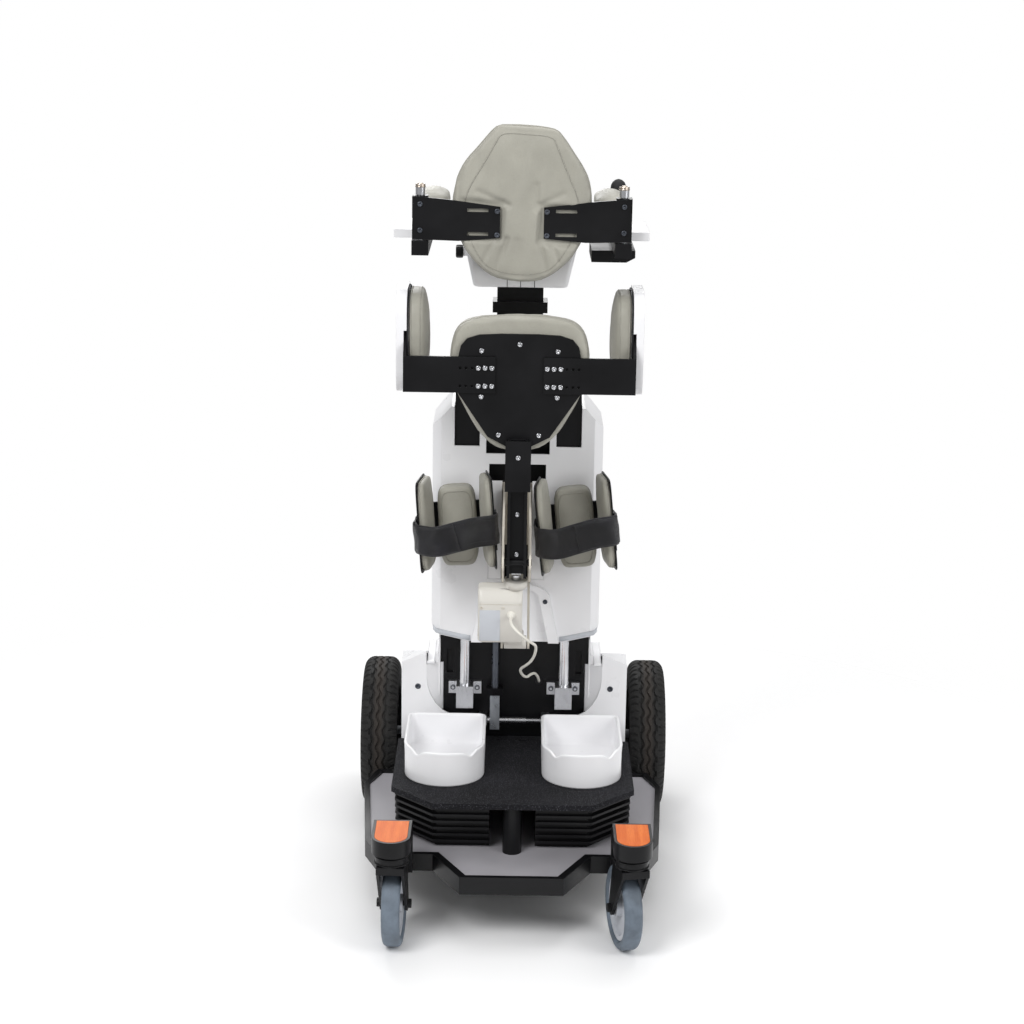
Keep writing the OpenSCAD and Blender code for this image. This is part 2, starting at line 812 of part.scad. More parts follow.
module caster_tread() translate([0, caster_trail, caster_r]) rotate([0, 90, 0]) rotate_extrude()
  translate([caster_r - tread_t / 2, 0]) round_rect(tread_t, caster_w, tread_round);
module caster_hub() translate([0, caster_trail, caster_r]) rotate([0, 90, 0]) rotate_extrude() {
  bore_r = caster_axle_d / 2 + run_clear;
  translate([caster_hub_r - caster_rim_t, -caster_w / 2 + caster_rim_t / 2])
    square([caster_rim_t, caster_w - caster_rim_t]);
  translate([bore_r, -caster_web_t / 2]) square([caster_hub_r - bore_r, caster_web_t]);
  translate([bore_r, -caster_w / 2]) square([caster_boss_r - bore_r, caster_w]);
}
module at_caster(side, turn) translate([side * caster_x, swivel_y, 0]) rotate([0, 0, turn]) children();
module left_caster_fork() color(black) at_caster(-1, left_caster_turn) caster_fork();
module left_caster_tread() color(tread_grey) at_caster(-1, left_caster_turn) caster_tread();
module left_caster_hub() color(grey) at_caster(-1, left_caster_turn) caster_hub();
module right_caster_fork() color(black) at_caster(1, right_caster_turn) caster_fork();
module right_caster_tread() color(tread_grey) at_caster(1, right_caster_turn) caster_tread();
module right_caster_hub() color(grey) at_caster(1, right_caster_turn) caster_hub();

// Column
shell_back_y = shell_front_y + shell_depth;
shell_bevel = 16;
shell_shoulder = 34;
shell_shoulder_drop = 38;
hem_rise = 28;
hem_inset = 7;
hem_low_rise = 14;
hem_half_w = 87;
cut_room = 1;
upright_cut_z = 798;
recess_half_w = 58;
recess_z = 784;
window_half_w = 52;
window_low = 546;
window_high = 765;
tunnel_half_w = 62;
tunnel_top_half_w = 44;
tunnel_spring = 510;
tunnel_rim = 20;
tunnel_proud = 9;
tunnel_sink = 2;
tunnel_steps = 8;
upright_wall = 4;
upright_lift = 15;
upright_bottom = shell_bottom + upright_lift;
cross_setback = 8;
cross_y = rod_y + cross_setback;
cross_t = 10;
cross_lift = 7;
cross_bottom = shell_bottom + cross_lift;
cross_drop = 20;
cross_top = upright_top - cross_drop;
sleeve_wall = 7;
sleeve_drop = 125;
sleeve_low = upright_top - sleeve_drop;
sleeve_h = 90;
strut_sleeve_d = 20;
strut_sleeve_low = 450;
strut_sleeve_h = 150;
tie_h = 20;
tie_lift = 75;
tie_drop = 145;
tie_z = [shell_bottom + tie_lift, upright_top - tie_drop];
bush_l = 40;
bush_lift = 6;
bush_drop = 265;
bush_z = [upright_bottom + bush_lift, upright_top - bush_drop];

function tunnel_half(rim) = [
  [tunnel_half_w + rim, shell_bottom - overrun],
  for (i = [0 : tunnel_steps])
    let (a = 90 * i / tunnel_steps)
      [(tunnel_top_half_w + rim) * cos(a), tunnel_spring + (tunnel_top_half_w + rim) / 2 * sin(a)]
];
module shell_plan(inset) polygon(mirrored([
  [shell_half_w - shell_bevel, shell_front_y + inset],
  [shell_half_w - inset, shell_front_y + shell_bevel],
  [shell_half_w - inset, shell_back_y - shell_bevel],
  [shell_half_w - shell_bevel, shell_back_y - inset]
]));
module shell_face(inset) polygon(mirrored([
  [hem_half_w, shell_bottom - inset],
  [shell_half_w - hem_inset - inset, shell_bottom + hem_low_rise - inset],
  [shell_half_w - inset, shell_bottom + hem_rise - inset],
  [shell_half_w - inset, shell_top - shell_shoulder_drop],
  [shell_half_w - shell_shoulder, shell_top - inset]
]));
module shell_body(inset) intersection() {
  slab_z(shell_bottom - inset, shell_top) shell_plan(inset);
  slab_y(shell_front_y, shell_back_y) shell_face(inset);
}
module front_cut(half_w, z0, z1) box(
  [-half_w, half_w],
  [shell_front_y - tunnel_proud - overrun, shell_front_y + shell_wall + overrun],
  [z0, z1]
);
module column_shell() color(white) difference() {
  union() {
    shell_body(0);
    slab_y(shell_front_y - tunnel_proud, shell_front_y) intersection() {
      polygon(mirrored(tunnel_half(tunnel_rim)));
      shell_face(0);
    }
  }
  shell_body(shell_wall);
  slab_y(shell_front_y - tunnel_proud - overrun, shell_front_y + tunnel_sink)
    polygon(mirrored(tunnel_half(0)));
  pair() box(
    [rod_x - upright_size / 2 - cut_room, rod_x + upright_size / 2 + cut_room],
    [shell_front_y - overrun, rod_y + upright_size / 2 + cut_room],
    [upright_cut_z, shell_top + overrun]
  );
  front_cut(window_half_w, window_low, window_high);
  box(
    [-recess_half_w, recess_half_w],
    [shell_front_y - overrun, mast_y + mast_depth + sleeve_wall + cut_room],
    [shell_top - shell_wall - overrun, shell_top + overrun]
  );
  box(
    [-rod_x, rod_x],
    [cross_y - cut_room, cross_y + cross_t + cut_room],
    [shell_top - shell_wall - overrun, shell_top + overrun]
  );
  front_cut(recess_half_w, recess_z, shell_top + overrun);
  pair() bar_y(
    knee_x, knee_z, knee_stud_d + 2 * run_clear,
    shell_front_y - overrun, shell_front_y + shell_wall + overrun
  );
}

module upright() difference() {
  box(
    [rod_x - upright_size / 2, rod_x + upright_size / 2],
    [rod_y - upright_size / 2, rod_y + upright_size / 2],
    [upright_bottom, upright_top]
  );
  box(
    [rod_x - upright_size / 2 + upright_wall, rod_x + upright_size / 2 - upright_wall],
    [rod_y - upright_size / 2 + upright_wall, rod_y + upright_size / 2 - upright_wall],
    [upright_bottom - overrun, upright_top - upright_wall]
  );
}
mast_y = cross_y + cross_t + sleeve_wall + slide_clear;
module column_frame() color(black) difference() {
  union() {
    pair() {
      upright();
      for (z = tie_z)
        box(
          [rod_x + upright_size / 2, shell_half_w - shell_wall],
          [rod_y - tie_h / 2, rod_y + tie_h / 2],
          [z, z + tie_h]
        );
    }
    box(
      [-rod_x + upright_size / 2, rod_x - upright_size / 2],
      [cross_y, cross_y + cross_t],
      [cross_bottom, cross_top]
    );
    box(
      [-mast_w / 2 - sleeve_wall, mast_w / 2 + sleeve_wall],
      [cross_y + cross_t, mast_y + mast_depth + sleeve_wall],
      [sleeve_low, sleeve_low + sleeve_h]
    );
    bar_z(strut_x, rod_y, strut_sleeve_d, strut_sleeve_low, strut_sleeve_low + strut_sleeve_h);
  }
  box(
    [-mast_w / 2 - slide_clear, mast_w / 2 + slide_clear],
    [mast_y - slide_clear, mast_y + mast_depth + slide_clear],
    [sleeve_low - overrun, sleeve_low + sleeve_h + overrun]
  );
  bar_z(
    strut_x, rod_y, strut_d + 2 * slide_clear,
    strut_sleeve_low - overrun, strut_sleeve_low + strut_sleeve_h + overrun
  );
}

module guide_bush(z) difference() {
  inner = upright_size - 2 * upright_wall;
  box([rod_x - inner / 2, rod_x + inner / 2], [rod_y - inner / 2, rod_y + inner / 2], [z, z + bush_l]);
  bar_z(rod_x, rod_y, guide_rod_d + 2 * run_clear, z - overrun, z + bush_l + overrun);
}
module guide_bushes() color([0.75, 0.7, 0.55]) pair() for (z = bush_z) guide_bush(z);

// Seat pivot, crank and actuator, worked out from the pivot and the crank
crank_angle = -30;
actuator_lean = 15;
actuator_l = 150;
pin_y = pivot_y + crank_r * cos(crank_angle);
pin_z = pivot_z + crank_r * sin(crank_angle);
base_y = pin_y + actuator_l * sin(actuator_lean);
base_z = pin_z - actuator_l * cos(actuator_lean);
base_pin_d = 10;
cheek_out = 17;
cheek_t = 5;
bracket_in = 21.5;
bracket_t = 4;
bracket_ear_r = 16;
bracket_low = 604;
bracket_high = 722;
bracket_nose = [42, 52];
bracket_chin = [35, 45];
bracket_flange = [45, 6];
leg_foot_z = 580;
leg_foot_half = 15;
leg_toe_r = 12;
module seat_pivot_bracket() color(beige) {
  difference() {
    pair() slab_x(bracket_in, bracket_in + bracket_t) {
      polygon([
        [cross_y, bracket_low],
        [cross_y, bracket_high],
        [pivot_y + bracket_nose.x, pivot_z + bracket_nose.y],
        [pivot_y, pivot_z + bracket_ear_r],
        [pivot_y, pivot_z - bracket_ear_r],
        [pivot_y + bracket_chin.x, pivot_z - bracket_chin.y]
      ]);
      dot([pivot_y, pivot_z], bracket_ear_r);
      link2d([base_y, base_z], [cross_y - leg_foot_half, leg_foot_z], leg_toe_r, leg_foot_half);
    }
    bar_x(
      pivot_y, pivot_z, pivot_pin_d + 2 * run_clear,
      -bracket_in - 2 * bracket_t, bracket_in + 2 * bracket_t
    );
  }
  box(
    [-bracket_flange.x, bracket_flange.x],
    [cross_y - bracket_flange.y, cross_y],
    [bracket_low, bracket_high]
  );
  bar_x(base_y, base_z, base_pin_d, -bracket_in - bracket_t, bracket_in + bracket_t);
}

// Actuator along its own axis from the base pin
box_left = -66;
box_right = 12;
box_front = 30;
box_back = 10;
box_low = 16;
box_l = 102;
box_chamfer = 16;
tube_d = 40;
tube_l = 14;
tube_bore = 17;
tube_bore_low = 30;
eye_r = 12;
eye_half_w = 20;
actuator_neck_half_w = 15;
gland_x = -8;
gland_at = 75;
gland_d = 14;
gland_l = 8;
rod_d = 16;
rod_low = 38;
rod_eye_r = 12;
stub_d = 14;
stub_clear = 0.5;
module at_actuator() translate([0, base_y, base_z]) rotate([actuator_lean, 0, 0]) children();
module actuator_body() color(beige) at_actuator() difference() {
  union() {
    slab_x(box_left, box_right) polygon([
      [-box_front, box_low],
      [box_back, box_low],
      [box_back, box_low + box_l],
      [-box_front + box_chamfer, box_low + box_l],
      [-box_front, box_low + box_l - box_chamfer]
    ]);
    bar_z(0, 0, tube_d, box_low + box_chamfer, box_low + box_l + tube_l);
    bar_x(0, 0, 2 * eye_r, -eye_half_w, eye_half_w);
    box([-actuator_neck_half_w, actuator_neck_half_w], [-eye_r, eye_r], [0, box_low]);
    bar_y(gland_x, gland_at, gland_d, -box_front - gland_l, -box_front);
  }
  bar_z(0, 0, tube_bore, tube_bore_low, box_low + box_l + tube_l + overrun);
  bar_x(0, 0, base_pin_d + 2 * run_clear, -eye_half_w - overrun, eye_half_w + overrun);
}
module actuator_rod() color(steel) at_actuator() difference() {
  union() {
    bar_z(0, 0, rod_d, rod_low, actuator_l);
    bar_x(0, actuator_l, 2 * rod_eye_r, -rod_d / 2, rod_d / 2);
  }
  bar_x(0, actuator_l, stub_d + 2 * slide_clear, -rod_d, rod_d);
}

// Cable from the gland on the motor box to the hole in the chassis plate
cable_d = 5;
cable_sides = 8;
cable_steps = 2;
cable_hole_room = 2;
cable_hole = [47, 328];
cable_route = [
  [-8, -146, 547.7], [-8, -161, 543.7], [-2, -173, 536], [10, -175, 525], [22, -165, 512],
  [31, -145, 500], [36, -120, 488], [37, -95, 472], [34, -72, 452], [27, -50, 434], [19, -28, 420],
  [13, -5, 408], [11, 18, 396], [13, 40, 383], [18, 60, 371], [24, 80, 363], [31, 100, 361],
  [38, 118, 357], [44, 134, 346], [47, 146, 334], [47, 157, 328]
];
function open_knot(p, i) = p[max(0, min(i, len(p) - 1))];
function open_point(p, i, t) =
  ((2 * open_knot(p, i)) + (open_knot(p, i + 1) - open_knot(p, i - 1)) * t
   + (2 * open_knot(p, i - 1) - 5 * open_knot(p, i) + 4 * open_knot(p, i + 1) - open_knot(p, i + 2))
     * t * t
   + (3 * open_knot(p, i) - open_knot(p, i - 1) - 3 * open_knot(p, i + 1) + open_knot(p, i + 2))
     * t * t * t) / 2;
function smooth_line(p, n) = concat(
  [for (i = [0 : len(p) - 2]) for (k = [0 : n - 1]) open_point(p, i, k / n)], [p[len(p) - 1]]
);
module actuator_cable() color(white)
  swept_tube(smooth_line(cable_route, cable_steps), cable_d, cable_sides);

// Chest unit on the mast
mast_wall = 4;
mast_tail = 80;
mast_low = sleeve_low - mast_tail;
collar_drop = 35;
collar_h = 20;
collar_lip = 8;
chest_half_low = 84;
chest_half_top = 110;
chest_y = 88;
chest_back_y = 210;
chest_top = chest_bottom + chest_h;
chest_pad_t = 40;
chest_pad_size = [190, 160];
chest_pad_lift = 30;
hinge_x = hinge_pitch / 2;
beam_drop = 22;
beam_low = chest_top - beam_drop;
beam_h = 24;
beam_top = beam_low + beam_h;
beam_half_w = 14;
cross_beam_y = [110, 140];
beam_end = 15;
stick_y = 40;
stick_base_d = 24;
stick_base_h = 8;
stick_ball_r = 11;
stick_d = 9;
stick_l = 48;
stick_knob_r = 14;
stick_pin_d = 6;
stick_pin_out = 2;
stick_gap = 0.5;
button_y = 78;
button_d = 14;
button_depth = 6;
button_h = 6;
button_travel = 2;
knob_z = 58;
knob_y = 130;
knob_d = 25;
knob_t = 13;
knob_boss_d = 16;
knob_boss_x = 104;
module mast() color(black) difference() {
  union() {
    box([-mast_w / 2, mast_w / 2], [mast_y, mast_y + mast_depth], [mast_low, chest_bottom]);
    box(
      [-mast_w / 2 - collar_lip, mast_w / 2 + collar_lip],
      [mast_y - collar_lip, mast_y + mast_depth + collar_lip],
      [chest_bottom - collar_drop - collar_h, chest_bottom - collar_drop]
    );
  }
  box(
    [-mast_w / 2 + mast_wall, mast_w / 2 - mast_wall],
    [mast_y + mast_wall, mast_y + mast_depth - mast_wall],
    [mast_low - overrun, chest_bottom - mast_wall]
  );
}

module chest_housing() color(white) {
  difference() {
    slab_y(chest_y, chest_back_y)
      polygon(mirrored([[chest_half_low, chest_bottom], [chest_half_top, chest_top]]));
    box(
      [-chest_half_top, chest_half_top],
      [cross_beam_y[0] - seat_clear, cross_beam_y[1] + seat_clear],
      [beam_low, chest_top + overrun]
    );
  }
  bar_x(knob_y, chest_bottom + knob_z, knob_boss_d, -knob_boss_x, -chest_half_low);
}

module chest_pad() color(hide)
  translate([0, chest_y - soft_clear, chest_bottom + chest_pad_lift + chest_pad_size.y / 2])
    rotate([90, 0, 0])
      padded(soft_rect(chest_pad_size.x, chest_pad_size.y, pad_square, pad_points), chest_pad_t, pad_form);

module arm_beams() color(black) difference() {
  union() {
    box([-hinge_x, hinge_x], cross_beam_y, [beam_low, beam_top]);
    pair() box(
      [hinge_x - beam_half_w, hinge_x + beam_half_w],
      [hinge_y - beam_end, cross_beam_y[1]],
      [beam_low, beam_top]
    );
    bar_z(hinge_x, stick_y, stick_base_d, beam_top, beam_top + stick_base_h);
  }
  bar_z(hinge_x, button_y, button_d + 2 * slide_clear, beam_top - button_depth, beam_top + overrun);
}

tray_in = 49;
tray_out = 45;
tray_t = 14;
tray_y = [-164, -14];
arm_pad_w = 57;
arm_pad_inset = 2;
arm_pad_t = 64;
module armrest_trays() color(white) pair() box(
  [hinge_x - tray_in, hinge_x + tray_out], tray_y, [beam_top, beam_top + tray_t]
);
module armrest_pads() color(hide) pair()
  translate([
    hinge_x - tray_in + arm_pad_inset + arm_pad_w / 2,
    (tray_y[0] + tray_y[1]) / 2,
    beam_top + tray_t + soft_clear
  ])
    padded(
      soft_rect(arm_pad_w, tray_y[1] - tray_y[0] - 2 * arm_pad_inset, pad_square, pad_points),
      arm_pad_t, arm_pad_form
    );

pin_head_d = 16;
pin_head_h = 13;
module hinge_pins() color(steel) pair() {
  bar_z(hinge_x, hinge_y, hinge_pin_d, beam_top, gate_low + gate_h + overrun);
  bar_z(hinge_x, hinge_y, pin_head_d, gate_low + gate_h + overrun, gate_low + gate_h + pin_head_h);
}

control_in = 49;
control_out = 25;
control_h = 20;
control_corner = [15, 12];
control_y = [-110, 20];
module control_box() color(black) slab_y(control_y[0], control_y[1]) polygon([
  [hinge_x - control_in, beam_low],
  [hinge_x - control_in, beam_low - control_h],
  [hinge_x + control_out - control_corner.x, beam_low - control_h],
  [hinge_x + control_out, beam_low - control_corner.y],
  [hinge_x + control_out, beam_low]
]);

stick_z = beam_top + stick_base_h + stick_gap + stick_ball_r;
module joystick() color(rubber) translate([hinge_x, stick_y, stick_z]) {
  sphere(stick_ball_r);
  rotate([0, 90, 0]) cylinder(d = stick_pin_d, h = 2 * (stick_ball_r + stick_pin_out), center = true);
  cylinder(d = stick_d, h = stick_l);
  translate([0, 0, stick_l]) sphere(stick_knob_r);
}
module power_button() color([0.75, 0.12, 0.1])
  bar_z(
    hinge_x, button_y, button_d,
    beam_top + button_travel + stick_gap - button_h, beam_top + button_travel + stick_gap
  );
module clamp_knob() color(rubber)
  bar_x(
    knob_y, chest_bottom + knob_z, knob_d,
    -knob_boss_x - slide_clear - knob_t, -knob_boss_x - slide_clear
  );

// Backrest gate, hung on the left pin and hooked on the right pin
gate_gap = 3;
gate_low = beam_top + gate_gap;
gate_h = 71;
gate_t = 5;
gate_half_block = 13;
gate_block_y = [-11, 13];
gate_peak = [124, 66];
gate_in = 36;
gate_in_z = [4, 55];
gate_dip = [105, -2];
gate_slot = [35, 6];
gate_slot_x = 73;
gate_slot_z = [10, 49];
hook_room = 1.8;
gate_plate_y = hinge_y + gate_block_y[0] - gate_t;
module gate_plate() difference() {
  slab_y(gate_plate_y, gate_plate_y + gate_t) polygon([
    [hinge_x + gate_half_block, gate_low],
    [hinge_x + gate_half_block, gate_low + gate_h],
    [gate_peak.x, gate_low + gate_peak.y],
    [gate_in, gate_low + gate_in_z[1]],
    [gate_in, gate_low + gate_in_z[0]],
    [gate_dip.x, gate_low + gate_dip.y]
  ]);
  for (z = gate_slot_z)
    box(
      [gate_slot_x - gate_slot.x / 2, gate_slot_x + gate_slot.x / 2],
      [gate_plate_y - overrun, gate_plate_y + gate_t + overrun],
      [gate_low + z - gate_slot.y / 2, gate_low + z + gate_slot.y / 2]
    );
}
module gate_block() box(
  [hinge_x - gate_half_block, hinge_x + gate_half_block],
  [hinge_y + gate_block_y[0], hinge_y + gate_block_y[1]],
  [gate_low, gate_low + gate_h]
);
module backrest_brackets() color(black) {
  pair() gate_plate();
  difference() {
    mirror([1, 0, 0]) gate_block();
    bar_z(-hinge_x, hinge_y, hinge_pin_d + 2 * run_clear, gate_low - overrun, gate_low + gate_h + overrun);
  }
  difference() {
    gate_block();
    bar_z(hinge_x, hinge_y, hinge_pin_d + 2 * hook_room, gate_low - overrun, gate_low + gate_h + overrun);
    box(
      [hinge_x - hinge_pin_d / 2 - hook_room, hinge_x + hinge_pin_d / 2 + hook_room],
      [hinge_y, hinge_y + gate_block_y[1] + overrun],
      [gate_low - overrun, gate_low + gate_h + overrun]
    );
  }
}

function at_shares(shares, half_w, low, h) = [for (s = shares) [s[0] * half_w, low + s[1] * h]];
back_pad_drop = 68;
back_pad_shares = [
  [0.18, 0], [0.45, 0.04], [0.8, 0.2], [0.98, 0.42], [1, 0.54],
  [0.92, 0.7], [0.69, 0.85], [0.46, 0.975], [0.34, 1]
];
module backrest_pad() color(hide)
  translate([0, gate_plate_y + gate_t + soft_clear, gate_low - back_pad_drop + back_pad_h / 2])
    rotate([0, back_pad_lean, 0])
      rotate([90, 0, 180])
        padded(
          smooth_loop(mirrored(at_shares(
            back_pad_shares, back_pad_w / 2, -back_pad_h / 2, back_pad_h
          )), loop_steps),
          back_pad_t, back_pad_form
        );

screw_d = 9;
screw_t = 3;
gate_screws = [[41, 9], [41, 48], [168, 15], [168, 58]];
module backrest_screws() color(steel) pair()
  for (p = gate_screws)
    bar_y(p.x, gate_low + p.y, screw_d, gate_plate_y - screw_t, gate_plate_y);

// Seat
seat_y = -165;
seat_low = 859;
seat_shares = [
  [0.22, 0], [0.51, 0.08], [1, 0.47], [1, 0.79], [0.96, 0.89], [0.86, 0.955], [0.66, 0.99], [0.3, 1]
];
cushion_grow = [13, 13, 26];
cushion_shares = [
  [0.12, 0], [0.34, 0.03], [0.56, 0.13], [0.85, 0.38], [1, 0.61], [0.99, 0.8], [0.86, 0.94], [0.5, 1]
];
module seat_plate() color(black) slab_y(seat_y, seat_y + plate_t)
  polygon(mirrored(at_shares(seat_shares, seat_half_w, seat_low, seat_plate_top - seat_low)));
module seat_cushion() color(hide)
  translate([0, seat_y + plate_t + soft_clear, 0])
    rotate([90, 0, 180])
      padded(
        smooth_loop(mirrored(at_shares(
          cushion_shares, seat_half_w + cushion_grow.x, seat_low - cushion_grow.y,
          seat_plate_top - seat_low + cushion_grow.y + cushion_grow.z
        )), loop_steps),
        seat_cushion_t, cushion_form
      );

post_depth = 20;
post_lap = 13;
post_top = seat_low + post_lap;
post_tail = 25;
post_low = pivot_z - post_tail;
web_lift = 4;
web_low = post_low + web_lift;
cover_low = 784;
cover_half = 22;
cover_t = 4;
hub_r = 14;
lug_r = 10;
module seat_post() color(black) {
  pair() {
    box([cheek_out - cheek_t, cheek_out], [seat_y - post_depth, seat_y], [post_low, post_top]);
    slab_x(cheek_out - cheek_t, cheek_out) link2d([pivot_y, pivot_z], [pin_y, pin_z], hub_r, lug_r);
    bar_x(pin_y, pin_z, stub_d, rod_d / 2 + stub_clear, cheek_out - cheek_t);
  }
  box([-cheek_out, cheek_out], [seat_y - plate_t, seat_y], [web_low, post_top]);
  box(
    [-cover_half, cover_half],
    [seat_y - post_depth - cover_t, seat_y - post_depth],
    [cover_low, post_top]
  );
  bar_x(pivot_y, pivot_z, pivot_pin_d, -bracket_in - bracket_t - overrun, bracket_in + bracket_t + overrun);
}

hip_in = hip_gap / 2 + hip_pad_t;
hip_arm_lap = 63;
hip_arm_drop = 39;
hip_arm_h = 62;
hip_flange_l = 105;
hip_flange_slope = [35, 39];
hip_hole_d = 5;
arm_hole_shares = [0.77, 0.87, 0.965];
arm_screw_shares = [0.45, 0.56, 0.67];
arm_row_shares = [0.7, 0.54];
hip_shell_t = 18;
hip_shell_y = [-150, 0];
hip_shell_z = [-110, 67];
hip_round = 40;
hip_pad_inset = 4;
function arm_places(shares) = at_shares(
  [for (x = shares) for (z = arm_row_shares) [x, z]],
  seat_half_w, seat_low, seat_plate_top - seat_low
);
module hip_bracket() {
  low = seat_plate_top - hip_arm_drop - hip_arm_h;
  difference() {
    box([seat_half_w - hip_arm_lap, hip_in + plate_t], [seat_y - plate_t, seat_y], [low, low + hip_arm_h]);
    for (p = arm_places(arm_hole_shares))
      bar_y(p.x, p.y, hip_hole_d, seat_y - plate_t - overrun, seat_y + overrun);
  }
  slab_x(hip_in, hip_in + plate_t) polygon([
    [seat_y - plate_t, low],
    [seat_y + hip_flange_l, low],
    [seat_y + hip_flange_l, low + hip_arm_h + hip_flange_slope.y],
    [seat_y + hip_flange_slope.x, low + hip_arm_h + hip_flange_slope.y],
    [seat_y - plate_t, low + hip_arm_h]
  ]);
}
module hip_brackets() color(black) pair() hip_bracket();

hip_mid = [(hip_shell_y[0] + hip_shell_y[1]) / 2, seat_plate_top + (hip_shell_z[0] + hip_shell_z[1]) / 2];
hip_size = [hip_shell_y[1] - hip_shell_y[0], hip_shell_z[1] - hip_shell_z[0]];
module hip_shell() difference() {
  low = seat_plate_top - hip_arm_drop - hip_arm_h;
  slab_x(hip_in, hip_in + hip_shell_t) translate(hip_mid) round_rect(hip_size.x, hip_size.y, hip_round);
  box(
    [hip_in - overrun, hip_in + plate_t + seat_clear],
    [hip_shell_y[0] - overrun, seat_y + hip_flange_l + seat_clear],
    [low - seat_clear, low + hip_arm_h + hip_flange_slope.y + seat_clear]
  );
}
module hip_shells() color(white) pair() hip_shell();
module hip_pads() color(hide) pair()
  translate([hip_in - soft_clear, hip_mid.x, hip_mid.y])
    rotate([90, 0, -90])
      padded(
        soft_rect(hip_size.x - 2 * hip_pad_inset, hip_size.y - 2 * hip_pad_inset, pad_square, pad_points),
        hip_pad_t, pad_form
      );

seat_screw_shares = [[0.62, 0.85], [0.62, 0.44], [0.33, 0.1]];
top_screw_share = 0.91;
pivot_screw_rise = 14;
post_screw_drop = 44;
cover_screw_drop = 28;
module seat_screws() color(steel) {
  pair() {
    for (p = at_shares(seat_screw_shares, seat_half_w, seat_low, seat_plate_top - seat_low))
      bar_y(p.x, p.y, screw_d, seat_y - screw_t, seat_y);
    for (p = arm_places(arm_screw_shares))
      bar_y(p.x, p.y, screw_d, seat_y - plate_t - screw_t, seat_y - plate_t);
  }
  bar_y(0, seat_low + top_screw_share * (seat_plate_top - seat_low), screw_d, seat_y - screw_t, seat_y);
  for (z = [pivot_z + pivot_screw_rise, cover_low - post_screw_drop])
    bar_y(0, z, screw_d, seat_y - plate_t - screw_t, seat_y - plate_t);
  bar_y(
    0, post_top - cover_screw_drop, screw_d,
    seat_y - post_depth - cover_t - screw_t, seat_y - post_depth - cover_t
  );
}

// Knee support about its own boss
knee_x = knee_pitch / 2;
knee_plate_gap = 27;
knee_plate_y = shell_front_y - knee_plate_gap;
knee_plate_half_w = 62;
knee_plate_half_h = 40;
knee_boss_d = 40;
knee_stud_d = 14;
knee_stud_l = 7;
knee_pad_t = 38;
wing_x = 38;
wing_drop = 7;
wing_flare = 8;
wing_l = 88;
wing_gap = 2;
wing_pad_t = 18;
wing_low = -70;
wing_high = 97;
flange_t = 4;
flange_l = 80;
flange_half_h = 35;
module at_wing() translate([wing_x, knee_plate_y - wing_drop, 0]) rotate([0, 0, wing_flare]) children();
module knee_bracket() {
  box(
    [-knee_plate_half_w, knee_plate_half_w], [knee_plate_y - plate_t, knee_plate_y],
    [-knee_plate_half_h, knee_plate_half_h]
  );
  bar_y(0, 0, knee_boss_d, knee_plate_y, shell_front_y - slide_clear);
  bar_y(0, 0, knee_stud_d, shell_front_y - slide_clear, shell_front_y + knee_stud_l);
  pair() at_wing() box(
    [wing_pad_t, wing_pad_t + flange_t], [-flange_l, wing_drop], [-flange_half_h, flange_half_h]
  );
}
module knee_pads() {
  translate([0, knee_plate_y - plate_t - soft_clear, 0])
    rotate([90, 0, 0])
      padded(soft_rect(knee_pad_w, knee_pad_h, pad_square, pad_points), knee_pad_t, pad_form);
  pair() at_wing()
    translate([wing_pad_t - soft_clear, -wing_l / 2 - wing_gap, (wing_low + wing_high) / 2])
      rotate([90, 0, -90])
        padded(soft_rect(wing_l, wing_high - wing_low, pad_square, wing_points), wing_pad_t, wing_form);
}

// Webbing band along a line, standing on its edge
strap_t = 3;
strap_steps = 2;
strap_route = [
  [-70, 10, 5], [-72.2, -6, 4], [-73, -22, 1], [-64, -34, -3], [-35, -40, -6], [0, -40, 1],
  [35, -37, 7], [64, -33, 8], [73, -22, 8], [72.2, -6, 8], [70, 10, 8]
];
module band(path, w, t) {
  n = len(path);
  pts = [
    for (i = [0 : n - 1])
      let (v = along(path, i), s = unit([v.y, -v.x, 0]) * t / 2, u = [0, 0, w / 2])
        each [path[i] - s - u, path[i] + s - u, path[i] + s + u, path[i] - s + u]
  ];
  polyhedron(
    pts,
    concat(
      [for (i = [0 : n - 2]) for (j = [0 : 3]) let (k = (j + 1) % 4)
        [4 * i + j, 4 * i + k, 4 * i + 4 + k]],
      [for (i = [0 : n - 2]) for (j = [0 : 3]) let (k = (j + 1) % 4)
        [4 * i + j, 4 * i + 4 + k, 4 * i + 4 + j]],
      [[3, 2, 1, 0]],
      [[4 * n - 4, 4 * n - 3, 4 * n - 2, 4 * n - 1]]
    )
  );
}
module knee_strap() band(smooth_line(strap_route, strap_steps), strap_w, strap_t);
module at_knee(side, turn) translate([side * knee_x, 0, knee_z]) rotate([0, turn, 0]) children();
module left_knee_bracket() color(black) at_knee(-1, left_knee_turn) knee_bracket();
module left_knee_pads() color(hide) at_knee(-1, left_knee_turn) knee_pads();
module left_knee_strap() color(black) at_knee(-1, left_knee_turn) knee_strap();
module right_knee_bracket() color(black) at_knee(1, right_knee_turn) knee_bracket();
module right_knee_pads() color(hide) at_knee(1, right_knee_turn) knee_pads();
module right_knee_strap() color(black) at_knee(1, right_knee_turn) knee_strap();

